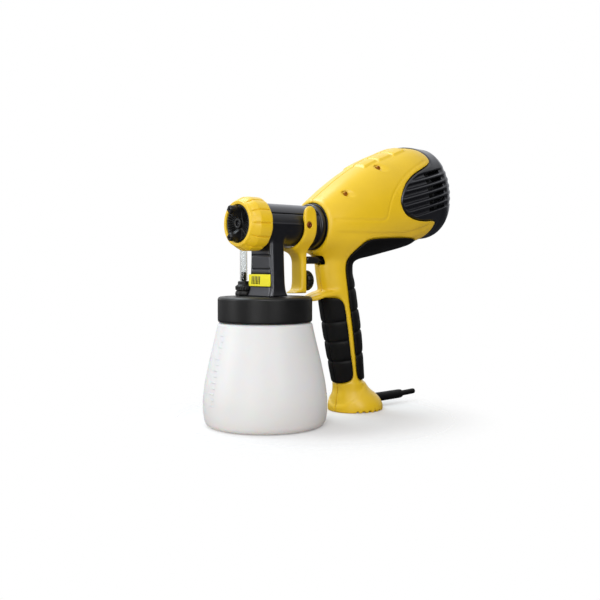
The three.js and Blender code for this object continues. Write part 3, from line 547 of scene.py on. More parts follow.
# ---------- handle: shells, cover and pads
def housing_rings(around=96):
    top, bottom = smooth(HOUSING_X, HOUSING_TOP), smooth(HOUSING_X, HOUSING_BOTTOM)
    aspect = smooth(HOUSING_X, HOUSING_ASPECT)
    end = HOUSING_X[-1]
    angles = np.arange(around) / around * 2 * math.pi
    cos, sin = np.cos(angles), np.sin(angles)
    side = np.sign(cos) * np.abs(cos) ** (2 / HOUSING_POWER)
    rise = np.sign(sin) * np.abs(sin) ** (2 / HOUSING_POWER)
    rear = end + (HOUSING_REAR - end) * np.sin(np.linspace(0, 1, 24)[1:] * math.pi / 2 * 0.995)
    rings = []
    for x in np.concatenate([np.arange(MOUTH_X - 6, end, 2.5), [end], rear]):
        body = min(max(x, MOUTH_X), end)
        share = max((x - end) / (HOUSING_REAR - end), 0)
        close = (1 - share**REAR_POWER) ** (1 / REAR_POWER)
        half = (top(body) - bottom(body)) / 2 * close
        centre = (top(body) + bottom(body)) / 2 - REAR_DROP * share
        rings.append(np.stack([0 * side + x, side * half * aspect(body), centre + rise * half], -1))
    return rings


def column_rings(sections, around=72, spacing=2.0):
    table = np.array(sections, float)
    centre, length, width = [smooth(table[:, 0], table[:, k]) for k in (1, 2, 3)]
    angles = np.arange(around) / around * 2 * math.pi
    levels = np.linspace(table[0, 0], table[-1, 0], int((table[-1, 0] - table[0, 0]) / spacing) + 2)
    return [
        np.stack([
            centre(z) + length(z) * np.cos(angles),
            width(z) * np.sin(angles),
            0 * angles + z,
        ], -1)
        for z in levels
    ]


def handle_skin(block):
    """The outside of the housing, handle and foot in one, before it is divided into pieces."""
    housing = smax(block.loft(housing_rings()), MOUTH_X - block.x, 3.0)
    skin = smin(housing, block.loft(column_rings(HANDLE)), 6.0)
    return smin(skin, smax(block.loft(column_rings(FOOT)), -block.z, 0.5), 3.0)


def cover_region(block):
    return outline(flowing(COVER_OUTLINE), block.x, block.z)


def guard_skin(block):
    """The finger guard under the barrel, part of the shells."""
    return smax(outline(GUARD_SIDE, block.x, block.z), outline(GUARD_PLAN, block.x, block.y), 3.0)


def pad_regions(block):
    front = outline(flowing(FRONT_PAD), block.x, block.z)
    back = outline(flowing(BACK_STRIP), block.x, block.z)
    return front, back


def housing_relief(block):
    """How deep the yellow shells are cut below the plain skin; negative stands proud."""
    line, _ = line_distance(flowing(CONTOUR_LINE, False), block.x, block.z, False)
    relief = 0.55 * np.exp(-((line / 0.85) ** 2))
    crease = smooth([p[0] for p in CREASE_LINE], [p[1] for p in CREASE_LINE])
    below = crease(np.clip(block.x, 62, 190)) - block.z
    along = ease((block.x - 60) / 12) * ease((194 - block.x) / 12)
    relief = relief + 0.7 * along * ease(below / 1.8) * ease((9 - below) / 8)
    high = block.z > 200
    for low, end, half in TOP_PADS:
        pad = np.maximum(slab(block.x, low, end), np.abs(block.y) - half)
        relief = relief - 1.2 * ease(0.5 - pad / 0.9) * high
    fold = (block.z - FOOT_FOLD[0][1]) * (FOOT_FOLD[1][0] - FOOT_FOLD[0][0])
    fold = fold - (block.x - FOOT_FOLD[0][0]) * (FOOT_FOLD[1][1] - FOOT_FOLD[0][1])
    fold = fold / math.dist(*FOOT_FOLD)
    relief = relief + 0.8 * ease(fold / 1.0 + 0.5) * ease((8 - fold) / 7) * ease((31 - block.z) / 6)
    return relief


def pocket(block, skin, x, z):
    """A shallow teardrop that opens towards the rear, with a screw hole at its front."""
    hole = np.maximum(block.off_axis("y", (x, z)) - 2.2, -skin - 2.6)
    reach = np.clip((block.x - x + 3) / 10, 0, 1)
    scoop = np.sqrt(((block.x - x - 1.8) / 1.7) ** 2 + (block.z - z) ** 2) - 3.3
    return smin(hole, np.maximum(scoop, -skin - 2.4 * (1 - reach) - 0.1), 0.5)


def shell_pair():
    """The left and right yellow shells."""
    block = Block((44, -45, -2), (HOUSING_REAR + 2, 2, 269), 0.9)
    skin = handle_skin(block)
    guard = guard_skin(block)
    front, back = pad_regions(block)
    cover = cover_region(block)
    outside = smin(skin, guard + 0.6, 3.0)
    bed = 1.3 * ease((0.9 - np.minimum(front, back)) / 0.8)
    solid = outside + housing_relief(block) + bed * (guard > 0.5)
    inside = np.minimum(outside + WALL, np.maximum(skin + WALL, outside))
    shell = np.maximum(solid, -inside)
    mouth = np.maximum(block.off_axis("x", (0, SPRAY_Z)) - MOUTH_R, block.x - MOUTH_X - 9)
    shell = smax(shell, -mouth, 1.2)
    slot_x, slot_half, slot_z = SWITCH_SLOT
    slot = meet(slab(block.x, *slot_x), np.abs(block.y) - slot_half, slab(block.z, *slot_z))
    shell = smax(shell, -slot, 0.8)
    cord_hole = np.maximum(block.off_axis("x", (0, CORD_Z)) - 5, 130 - block.x)
    shell = smax(shell, -cord_hole, 0.6)
    shell = smax(shell, 0.35 - cover, 1.1)
    foot_x, foot_long, foot_wide = FOOT[0][1:]
    start, stop, pitch = FOOT_NOTCHES
    angle = np.degrees(np.arctan2(-block.y, block.x - foot_x))
    notch = 1.9 - np.abs(((angle - start) / pitch) % 1 - 0.5) * 7
    rim = np.sqrt(((block.x - foot_x) / foot_long) ** 2 + (block.y / foot_wide) ** 2)
    notch = meet(notch, block.z - 1.9, slab(angle, start, stop), (0.84 - rim) * 20)
    shell = np.maximum(shell, -notch)
    shell = smax(shell, block.y + SEAM, 0.1)
    for side, name, screws in ((-1, "left_housing", SIDE_SCREWS), (1, "right_housing", LOW_SCREWS)):
        made = shell
        for x, z in screws:
            boss = meet(block.off_axis("y", (x + 2, z)) - 8, -skin - 6, block.y + 4)
            made = np.minimum(made, np.maximum(boss, solid))
            made = smax(made, -np.maximum(pocket(block, skin, x, z), block.y + 4), 0.6)
        block.mesh(name + "_shell", made, name, mirrored=side > 0)


def rear_cover():
    """The black intake cover: ribs along the motor axis, slotted through near the tail."""
    block = Block((134, -45, 166), (HOUSING_REAR + 2, 45, 269), 0.75)
    skin = handle_skin(block)
    region = cover_region(block)
    u = (block.x - MOTOR_X) * AXIS_X + (block.z - MOTOR_Z) * AXIS_Z
    v = (block.z - MOTOR_Z) * AXIS_X - (block.x - MOTOR_X) * AXIS_Z
    nearest = np.clip(np.round((LOUVRE_TOP - v) / LOUVRE_PITCH), 0, LOUVRES - 1)
    beside = np.abs(v - LOUVRE_TOP + nearest * LOUVRE_PITCH)
    margin = ease((-region - 2.2) / 2.0) * ease((np.abs(block.y) - 10) / 6)
    flank = ease((74 - u) / 14)
    groove = (0.55 + 1.55 * flank) * margin * ease((2.5 - beside) / 1.0)
    crown = 0.5 * margin * flank * ease((beside - 1.5) / 2.2)
    crown = crown * ease((LOUVRE_TOP + 3 - v) / 2) * ease((v + 20) / 2)
    outside = smax(skin + 0.1 + groove - crown, region + 0.35, 2.2)
    shell = np.maximum(outside, -(skin + WALL + 1.6))
    slot = meet(slab(u, *LOUVRE_SPAN), beside - 1.45, COVER_SPINE - np.abs(block.y))
    block.mesh("rear_intake_cover", smax(shell, -slot, 0.6), "rear_cover")


def grips():
    """The soft pads, with grooves between the finger pads."""
    block = Block((58, -45, 22), (186, 2, 176), 0.75)
    skin = handle_skin(block)
    front, back = pad_regions(block)
    guard = guard_skin(block)
    lean = 0.18 * (block.x - 90)
    pads = (("front", front, FRONT_GROOVES, 20.0), ("back", back, BACK_GROOVES, 21.0))
    for name, region, grooves, pitch in pads:
        cut = 0
        for z in grooves:
            off = block.z - z - lean
            cut = np.maximum(cut, 0.85 * np.exp(-((off / 0.95) ** 2)) + 0.3 * ease(1 - np.abs(off) / 6))
        edge = ease((region + 5) / 4) if name == "front" else 0
        proud = PAD_PROUD - cut * (1.15 - 0.85 * edge)
        pad = meet(smax(skin - proud, region + 0.25, 2.4), -(skin + 1.1), 0.5 - guard)
        pad = smax(pad, block.y + SEAM, 0.6)
        for side, word in ((-1, "left"), (1, "right")):
            block.mesh(f"{name}_pad_{word}", pad, f"{name}_grip_{word}", mirrored=side > 0)


# ---------- spray attachment
def spray_head():
    """Barrel, neck and coupling, and the barrel's separate top cover."""
    block = Block((-24, -24, 101), (76, 31, 202), 0.55)
    r = block.off_axis("x", (0, SPRAY_Z))
    x, y, z = block.x, block.y, block.z
    barrel = smax(r - BARREL_R, slab(x, NUT_BACK + 0.8, BARREL_END), 1.0)
    barrel = barrel - 0.45 * np.exp(-(((z - SPRAY_Z) / 0.65) ** 2)) * ease((49 - x) / 2)
    thread = np.maximum(r - 18.4 + 0.4 * np.sin(x * 2 * math.pi / 2.5), slab(x, -22, NUT_BACK + 2))
    flange = smax(r - 20.9, slab(x, BARREL_END, MOUTH_X - 0.3), 1.2)
    spigot = smax(np.maximum(r - 17.3, 14.6 - r), slab(x, MOUTH_X - 1, 74), 0.6)
    lugs = meet(np.abs(y) - 17.9, 15 - r, slab(x, 64, 70), np.abs(z - SPRAY_Z) - 4)
    flare = 2.4 * np.exp(-np.clip(z - LID_TOP - 1, 0, 60) / 4.5)
    across = np.abs(y) - (15.1 + 1.3 * ease((165 - z) / 50) + 0.5 * flare)
    deep = np.abs(x - NECK_X) - (8.4 + flare)
    neck = smax(walls(across, deep, 3.8), slab(z, LID_TOP + 0.35, SPRAY_Z - 6), 0.8)
    arm = smax(block.off_axis("y", (VENT_X, 174)) - 3.2, slab(y, 12, VENT_Y + 1), 1.0)
    elbow = smax(block.off_axis("z", (VENT_X, VENT_Y)) - 3.3, slab(z, 168.8, 177.2), 1.2)
    tail = np.maximum(block.off_axis("z", (VENT_X, VENT_Y)) - 2.2, slab(z, 162, 172))
    stem = smax(block.off_axis("z", (STEM_X, 0)) - 7, slab(z, 103, LID_TOP + 1), 0.6)
    outside = smin(smin(barrel, neck, 3.5), arm, 1.5)
    outside = join(outside, thread, flange, spigot, lugs, smin(elbow, tail, 0.8), stem)
    frame_y, frame_z = np.abs(y) - 11.4, np.abs(z - PANEL_Z) - 4.2
    panel = np.sqrt(np.maximum(frame_y, 0) ** 2 + np.maximum(frame_z, 0) ** 2) - 2.1
    groove = np.maximum(np.abs(panel) - 0.55, np.abs(x - NECK_FRONT) - 1.0)
    groove = np.minimum(groove, np.maximum(panel, np.abs(x - NECK_FRONT) - 0.35))
    seat = meet(np.abs(y) - 15.9, np.abs(z - PLATE_Z) - 5.9, x + 5.1)
    bore = np.maximum(r - BARREL_BORE, slab(x, -26, BARREL_END + 1))
    tube = np.maximum(r - 6, slab(x, -18.5, 25))
    web = meet(np.abs(y) - 4, slab(x, -5.5, 9.5), slab(z, 160, SPRAY_Z), r - 17)
    body = smax(smax(outside, -groove, 0.5), -seat, 0.4)
    body = join(np.maximum(body, -bore), tube, web)
    body = smax(body, -np.maximum(BARREL_SPLIT - z, slab(x, -6.3, BARREL_END - 0.3)), 0.5)
    pegs = meet(slab(x, 31.2, 37.2), np.abs(z - SPRAY_Z + 7) - 2.2, 8 - np.abs(y))
    needle = np.maximum(r - 2.2, slab(x, -19, 26))
    suction = np.maximum(block.off_axis("z", (STEM_X, 0)) - 4.8, slab(z, 100, 160))
    pivot = np.maximum(block.off_axis("y", (PIVOT_X, SPRAY_Z)) - 2.0, -z)
    block.mesh("barrel_and_neck", meet(body, -pegs, -needle, -suction, -pivot), "spray_body")
    top = smax(np.maximum(barrel, BARREL_BORE - r), BARREL_SPLIT + 0.4 - z, 0.7)
    top = smax(top, slab(x, -6, BARREL_END - 0.3), 0.5)
    block.mesh("barrel_top", top, "barrel_cover")


def trigger():
    """The yellow yoke: two arms round the barrel, joined below into the finger bar."""
    block = Block((24, -25, 114), (47, 25, 200), 0.5)
    x, y, z = block.x, block.y, block.z
    side = outline(flowing([
        (27.2, 186), (29, 193.5), (35, 197.2), (40.6, 194), (42.8, 186), (43.6, 168), (44, 150),
        (44, 132), (44, 117), (44, 117), (29, 117), (29, 117), (31, 118.6), (35.6, 121.5), (37, 128),
        (37, 140), (36.6, 148), (33.4, 153.6), (26.6, 157.4), (27.6, 163), (28.6, 172), (27.8, 180),
    ]), x, z)
    disc = block.off_axis("x", (0, SPRAY_Z)) - YOKE_R
    bar = np.maximum(np.abs(y) - 8, z - 175)
    front = smin(disc, bar, 8.0)
    flat = np.maximum(np.abs(y) - YOKE_R, 179.5 - z)
    lever = smax(smax(np.minimum(front, flat), side, 3.2), slab(z, 117, 197.3), 1.6)
    lever = smax(lever, -np.maximum(np.abs(y) - 20.2, SPRAY_Z - z), 1.2)
    for turn in TRIGGER_PULL:
        c, s = math.cos(math.radians(turn)), math.sin(math.radians(turn))
        height = (z - SPRAY_Z) * c + (x - PIVOT_X) * s
        lever = smax(lever, -(np.sqrt(y**2 + height**2) - YOKE_BORE), 1.2)
    peg = np.maximum(block.off_axis("y", (PIVOT_X, SPRAY_Z - 7)) - 1.5, slab(np.abs(y), 9, 22))
    lever = np.minimum(lever, peg)
    hole = np.maximum(block.off_axis("x", (0, KNOB_Z)) - 2.9, 38.5 - x)
    pivot = block.off_axis("y", (PIVOT_X, SPRAY_Z))
    bore = np.minimum(pivot - 2.2, np.maximum(pivot - 3.1, 21.7 - np.abs(y)))
    lever = smax(smax(lever, -hole, 0.4), -bore, 0.5)
    block.mesh("trigger_yoke", lever, "trigger")


def air_cap():
    """The dished cap with radial ridges and two horns."""
    block = Block((-41, -19.5, SPRAY_Z - 19.5), (-21.5, 19.5, SPRAY_Z + 19.5), 0.32)
    x, y, z = block.x, block.y, block.z - SPRAY_Z
    r = np.sqrt(y**2 + z**2)
    angle = np.arctan2(z, y)
    quadrant = ease((np.abs(np.cos(angle)) - 0.6) / 0.1)
    ridges = 0.85 * np.cos(angle * 36) * ease((r - 5.2) / 1.5) * ease((14.8 - r) / 1) * quadrant
    face = -30.4 + 2.2 * ease((15.2 - r) / 3) + ridges
    disc = smax(smax(r - 16.2, face - x, 0.8), x + 27.0, 0.4)
    skirt = meet(r - 18.2, 16.6 - r, slab(x, -27.8, -22.4))
    rim = smax(np.maximum(r - 18.2, 14 - r), slab(x, -27.9, -26.0), 0.4)
    hub = smax(r - 4.6, slab(x, -30.9, -27), 0.6)
    cap = smax(smin(join(disc, skirt, rim), hub, 0.8), -(r - 2.5), 0.4)
    for side in (-1, 1):
        centre = np.sqrt(y**2 + (z - side * HORN_OUT) ** 2)
        post = smax(centre - 3.5, slab(x, -39.4, -28), 1.2)
        slope = (-29.2 - x) - (side * z - 4.6) * 1.45
        web = smax(np.abs(y) - 3.1, slab(side * z, 4.2, HORN_OUT), 0.8)
        web = smax(web, np.maximum(slope * 0.57, x + 28), 0.8)
        horn = smin(post, web, 1.2)
        cap = smin(cap, smax(horn, -np.maximum(centre - 1.0, x + 38), 0.3), 0.8)
    for quarter in range(4):
        at = math.radians(45 + 90 * quarter)
        hole = np.sqrt((y - 12.4 * math.cos(at)) ** 2 + (z - 12.4 * math.sin(at)) ** 2) - 1.15
        cap = smax(cap, -hole, 0.3)
    block.mesh("horned_cap", cap, "air_cap")


def union_nut():
    """The big yellow nut: a cone of flat pads with thin grooves between them."""
    facets, front, back = 12, NUT_FRONT, NUT_BACK

    def pads(angle, radius, station):
        turn = np.abs((angle * facets / (2 * math.pi)) % 1 - 0.5) * 2
        along = ease((back - 0.9 - station) / 0.5) * ease((station - front - 2.5) / 1.2)
        flat = 0.45 * (1 - turn**2) - 0.45
        groove = 0.9 * ease((turn - 0.86) / 0.08)
        return (radius > 19.5) * (along * (0.35 - groove) + flat * ease((station - front) / 6))

    turned("ribbed_nut", "union_nut", [
        (18.9, back), (23.3, back, 0.5), (23.5, back - 1.2, 0.3), (23.6, -14), (23.6, -18),
        (23.6, -22.5, 0.9), (22.3, -25.3), (21.0, -28.1), (19.7, front, 0.7), (16.9, front, 0.4),
        (16.7, -28.1, 0.2), (18.9, -28.1, 0.3),
    ], "x", (0, SPRAY_Z), segments=384, radius=0.2, shape=pads)


def nozzle():
    """The metal tip in the middle of the cap."""
    turned("nozzle_tip", "nozzle", [
        (2, -20.1), (7, -20.1), (7, -22.5), (4, -24), (4, -25.5), (1.9, -29.4), (1.6, -29.9),
        (0.95, -29.9), (1.2, -28.8), (2, -26.5),
    ], "x", (0, SPRAY_Z), segments=64, radius=0.25)


def container_group():
    """Lid, bottle with its scale, and the pressure vent with its hose."""
    turned("screw_lid", "container_lid", [
        (0, LID_TOP - 2.8), (39.8, LID_TOP - 2.8), (39.8, LID_SKIRT), (LID_R - 0.4, LID_SKIRT, 0.8),
        (LID_R, LID_SKIRT + 1.6, 0.8), (LID_R, LID_TOP - 1.9, 0.8), (LID_R - 0.5, LID_TOP - 0.9, 0.5),
        (LID_R - 1.6, LID_TOP, 0.9), (LID_R - 6, LID_TOP - 0.1, 0.5), (LID_R - 6.6, LID_TOP - 0.7, 0.3),
        (LID_R - 8, LID_TOP - 0.7, 0.3), (LID_R - 8.6, LID_TOP - 0.1, 0.5), (12, LID_TOP), (0, LID_TOP),
    ], "z", (0, 0), segments=160)
    outer = [
        (0, 1.4), (30, 1.4, 2), (36, 0.2, 1), (48, 0, 2), (52.6, 1.0, 3), (54.6, 4.5, 3), (55.8, 11, 4),
        (56, 17, 4), (55.9, 25, 6), (54.3, 38, 8), (51.8, 50, 8), (49.2, 62, 8), (46.2, 74, 8),
        (43.4, 86.5, 3), (42.6, 90.6, 2), (41.0, 92.4, 1.2), (38.6, 92.6, 0.8), (38.6, 110.8, 0.6),
        (36.4, 110.8, 0.6),
    ]
    inner = [
        (36.4, 92, 2), (40, 90, 2), (41.4, 85.6, 4), (44.2, 73.6, 6), (49.7, 49.6, 8), (54, 24, 8),
        (54, 12, 4), (50, 3.0, 2), (0, 3.2),
    ]
    turned("bottle", "container", outer + inner, "z", (0, 0), segments=192, radius=1.0)
    scale_marks()
    at = (VENT_X, VENT_Y)

    def knurl(angle, radius, station):
        return 0.35 * np.cos(angle * 20) * (radius > 7.2) * ease((station - 120.8) / 0.4)

    turned("vent_base", "vent_valve_body", [
        (1.2, 115.5), (7.4, 115.5, 0.3), (7.9, 116.6, 0.8), (7.7, 118.8, 0.8), (6.6, 120.3, 0.6),
        (5, 120.3), (5, 117.4), (1.2, 117.4),
    ], "z", at, segments=80)
    turned("vent_top", "vent_valve_cap", [
        (1.1, 120.5), (7.4, 120.5, 0.4), (7.5, 123.8, 0.6), (6.2, 125.4, 0.5), (5.4, 125.6, 0.2),
        (5.4, 128.2, 0.5), (4.4, 128.9, 0.3), (2.3, 128.9, 0.1), (2.3, 136, 0.3), (1.9, 137, 0.3),
        (1.1, 137, 0.2),
    ], "z", at, segments=160, radius=0.3, shape=knurl)
    turned("pressure_hose", "vent_hose", [
        (2.45, 129.2), (3.5, 129.2), (3.5, 170.4), (2.45, 170.4),
    ], "z", at, segments=48, radius=0.3)


def scale_marks():
    """Raised volume marks up the bottle's left side, each following its wall."""
    wall = smooth([17, 25, 38, 50, 62, 74, 86.5], [56, 55.9, 54.3, 51.8, 49.2, 46.2, 43.4])
    count, lowest, pitch, steps = 13, 22, 5, 8
    points, faces = [], []
    for k in range(count):
        z = lowest + pitch * k
        half = math.radians(4.2 if k % 2 == 0 else 2.4)
        middle = math.radians(SCALE_AZIMUTH) + (0 if k % 2 == 0 else math.radians(1.8))
        for i in range(steps + 1):
            angle = middle - half + 2 * half * i / steps
            for lift, height in ((-0.4, -0.35), (0.22, -0.3), (0.22, 0.3), (-0.4, 0.35)):
                r = float(wall(z + height)) + lift
                points.append((r * math.cos(angle), r * math.sin(angle), z + height))
        base = len(points) - 4 * (steps + 1)
        for i in range(steps):
            for j in range(4):
                a, b = base + 4 * i + j, base + 4 * i + (j + 1) % 4
                faces.append([a, b, b + 4, a + 4])
        faces.append([base + 3, base + 2, base + 1, base])
        end = base + 4 * steps
        faces.append([end, end + 1, end + 2, end + 3])
    marks = new_mesh("volume_marks", points, faces, "container", stands_for=False)
    marks.data.materials.append(LOOKS["milky_plastic"])


def small_parts():
    """Knob, switch paddle, label, socket, screws."""
    def notches(angle, radius, station):
        return -0.9 * (radius > 8.5) * ease((np.cos(angle * 12) - 0.72) / 0.28)

    x0, x1 = KNOB_END - 7.4, KNOB_END
    turned("flow_knob", "regulator_knob", [
        (0, 39.2), (2.5, 39.2), (2.5, x0), (8.6, x0, 0.6), (9.6, x0 + 1.4, 0.8), (9.6, x1 - 1.6, 1.0),
        (8.2, x1, 1.2), (5.6, x1, 0.4), (5.0, x1 - 0.9, 0.4), (0, x1 - 0.9),
    ], "x", (0, KNOB_Z), segments=144, shape=notches)
    block = Block((43, -10, 141.5), (84, 10, 154.5), 0.45)
    paddle = outline(flowing([
        (47, 144.6), (47, 144.6), (56, 144.5), (60, 145), (62, 148), (60, 151), (56, 151.5),
        (48, 151.4), (46, 150), (45.5, 148), (46, 145.8),
    ]), block.x, block.z)
    paddle = smax(paddle, np.abs(block.y) - 6, 1.6)
    stem = meet(np.abs(block.y) - 3, slab(block.x, 58, 82), np.abs(block.z - 148) - 2)
    block.mesh("switch_paddle", np.minimum(paddle, stem), "switch_plunger")
    label_low, label_high = box_mm("label_plate")
    block = Block(label_low - 1.5, label_high + 1.5, 0.3)
    half = (label_high - label_low) / 2
    middle = (label_high + label_low) / 2
    plate = walls(np.abs(block.y - middle[1]) - half[1], np.abs(block.z - middle[2]) - half[2], 1.0)
    block.mesh("name_plate", smax(plate, np.abs(block.x - middle[0]) - half[0], 0.3), "label_plate")
    label_bars(label_low, label_high)
    turned("mouth_ring", "socket_ring", [
        (18.9, MOUTH_X + 0.4), (MOUTH_R - 0.4, MOUTH_X + 0.4), (MOUTH_R - 0.4, 79), (18.9, 79),
        (18.9, 60.5), (20.4, 59), (20.4, 58),
    ], "x", (0, SPRAY_Z), segments=128, radius=0.4)
    for node in SCREWS + PIVOT_SCREWS:
        screw(node)


def label_bars(low, high):
    """Slanted dark bars at the left of the yellow plate."""
    points, faces = [], []
    foot, head = float(low[2] + 1.9), float(high[2] - 1.7)
    count, pitch = 6, 2.15
    for k in range(count):
        y = float(high[1]) - 4.2 - pitch * k
        for x in (float(low[0]) - 0.08, float(low[0]) + 0.2):
            for dy, z in ((0, foot), (-1.15, foot), (-1.75, head), (-0.6, head)):
                points.append((x, y + dy, z))
        base = 8 * k
        faces += [[base, base + 1, base + 2, base + 3], [base + 7, base + 6, base + 5, base + 4]]
        for j in range(4):
            m = (j + 1) % 4
            faces.append([base + j, base + 4 + j, base + 4 + m, base + m])
    bars = new_mesh("plate_bars", points, faces, "label_plate", stands_for=False)
    bars.data.materials.append(LOOKS["label_ink"])


def screw(node):
    """A pan-head screw with a cross recess, in the CAD screw's place."""
    low, high = box_mm(node)
    side = -1 if abs(low[1]) > abs(high[1]) else 1
    x, z = (low[0] + high[0]) / 2, (low[2] + high[2]) / 2
    radius = float(high[0] - low[0]) / 2 * 0.76
    top = float(low[1] if side < 0 else high[1])
    tip = float(high[1] if side < 0 else low[1])
    reach = radius + 1
    block = Block(
        (x - reach, min(tip, top) - 1, z - reach), (x + reach, max(tip, top) + 1, z + reach), 0.32,
    )
    r = block.off_axis("y", (x, z))
    deep = side * (top - block.y)
    head = smax(r - radius, slab(deep, 0.45 * (r / radius) ** 2, 1.6), 0.4)
    shank = np.maximum(r - radius * 0.48, slab(deep, 1, abs(top - tip)))
    arms = np.minimum(
        np.maximum(np.abs(block.x - x) - 0.45, np.abs(block.z - z) - radius * 0.55),
        np.maximum(np.abs(block.z - z) - 0.45, np.abs(block.x - x) - radius * 0.55),
    )
    cross = np.maximum(arms, deep - 1.0)
    block.mesh(node.replace("_screw", "_fixing"), np.maximum(np.minimum(head, shank), -cross), node)


def swept(name, node, path, radii, around=32, steps=8):
    """A round bar along a smooth path, with its radius at each path point."""
    line = flowing(path, closed=False, steps=steps)
    along = np.linspace(0, len(path) - 1, len(line))
    size = np.interp(along, np.arange(len(path)), radii)
    tangent = np.gradient(line, axis=0)
    tangent /= np.linalg.norm(tangent, axis=1, keepdims=True)
    side = np.array([0.0, 1.0, 0.0])
    points, faces = [], []
    for p, t, r in zip(line, tangent, size):
        up = np.cross(side, t)
        for j in range(around):
            a = 2 * math.pi * j / around
            points.append(p + r * (math.cos(a) * side + math.sin(a) * up))
    for i in range(len(line) - 1):
        for j in range(around):
            a, b = i * around + j, i * around + (j + 1) % around
            faces.append([a, b, b + around, a + around])
    caps = [list(range(around))[::-1], list(range((len(line) - 1) * around, len(line) * around))]
    new_mesh(name, points, faces + caps, node).data.set_sharp_from_angle(angle=math.radians(50))


def cord():
    """The cord's stub and its fluted sleeve."""
    end = float(box_mm("power_cord")[1][0])
    swept("cord_stub", "power_cord", [
        (103, 0, 50), (106, 0, 30), (110, 0, 16), (118, 0, 9.5), (130, 0, 8.5), (150, 0, 8.5), (184, 0, 8.6),
        (end - 1.6, 0, 9), (end - 0.5, 0, 9), (end, 0, 9),
    ], [2.8] * 7 + [2.8, 2.3, 1.5])
    low, high = box_mm("strain_relief")

    def flutes(angle, radius, station):
        return -0.12 * (radius > 4.3) * (0.5 - 0.5 * np.cos((station - low[0]) * 2 * math.pi / 13))

    turned("cord_sleeve", "strain_relief", [
        (3.3, low[0]), (5.2, low[0], 0.3), (5.2, low[0] + 2.5, 0.3), (4.6, low[0] + 2.6),
        (4.65, low[0] + 12), (4.6, low[0] + 25), (4.6, low[0] + 38), (4.6, high[0] - 3.4, 1.0),
        (4.2, high[0] - 0.4, 0.6), (3.3, high[0] - 0.2, 0.3),
    ], "x", (0, CORD_Z), segments=64, radius=0.4, shape=flutes)


shell_pair()
rear_cover()
grips()
spray_head()
trigger()
air_cap()
union_nut()
nozzle()
container_group()
small_parts()
cord()

# ---------- finishes
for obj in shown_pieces():
    stood_for = [obj["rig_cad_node"]] if "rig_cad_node" in obj else list(obj.get("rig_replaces", []))
    if stood_for:
        obj.data.materials.clear()
        obj.data.materials.append(LOOKS[OWN_LOOK.get(stood_for[0], SLOT_OF[stood_for[0]])])


# ---------- floor, light and camera
FLOOR_HALF = 6.0
FLOOR_CENTRE = (0.06, 0, 0)
FLOOR_FADE = (0.06, 0.18)  # metres from its centre: the floor starts and ends turning clear
FLOOR_CLEAR = 0.2  # how clear it is at its centre
FLOOR_SHOWN = (0.8, 0.8, 0.805, 1)
FLOOR_BOUNCE = (0.7, 0.645, 0.575, 1)
FLOOR_MIRRORED = (0.06, 0.06, 0.065, 1)
WALL_LIGHTS = (  # direction, where its light starts, where it is full, least and most light
    ((0, 0, 1), 0.0, 0.9, 0.04, 0.78),
    ((0.66, 0.75, 0), 0.35, 0.95, 0.0, 1.0),
    ((-0.72, 0.69, 0), 0.45, 0.95, 0.0, 0.5),
)
LAMP_TARGET = (0.09, 0, 0.14)
WHITE = (1, 1, 1)
LAMPS = (  # name, place, size, watts, colour
    ("key", (-0.75, -0.75, 1.05), (0.6, 0.6), 5.3, WHITE),
    ("front", (-0.3, -1.2, 0.45), (0.5, 0.5), 3.2, WHITE),
    ("fill", (-1.05, -0.6, 0.2), (0.4, 0.4), 2.1, WHITE),
    ("left", (-1.0, 0.6, 0.4), (0.3, 0.6), 2.6, WHITE),
    ("top", (-0.15, 0.55, 1.1), (0.6, 0.6), 7.5, (0.8, 0.92, 1.0)),
)
CAMERA_AT = (-0.449, -0.5586, 0.1431)
CAMERA_AZIMUTH = 41.3  # degrees from Y towards X that it looks
CAMERA_PITCH = 2.48  # degrees down
CAMERA_LENS = 47.9


def seen_only_by_camera(tree, seen, unseen, target):
    """Joins two shader outputs so that the camera sees the first and everything else the second."""
    add, link = tree.nodes.new, tree.links.new
    path = add("ShaderNodeLightPath")
    mix = add("ShaderNodeMixShader")
    link(path.outputs["Is Camera Ray"], mix.inputs["Fac"])
    link(unseen, mix.inputs[1])
    link(seen, mix.inputs[2])
    link(mix.outputs["Shader"], target)


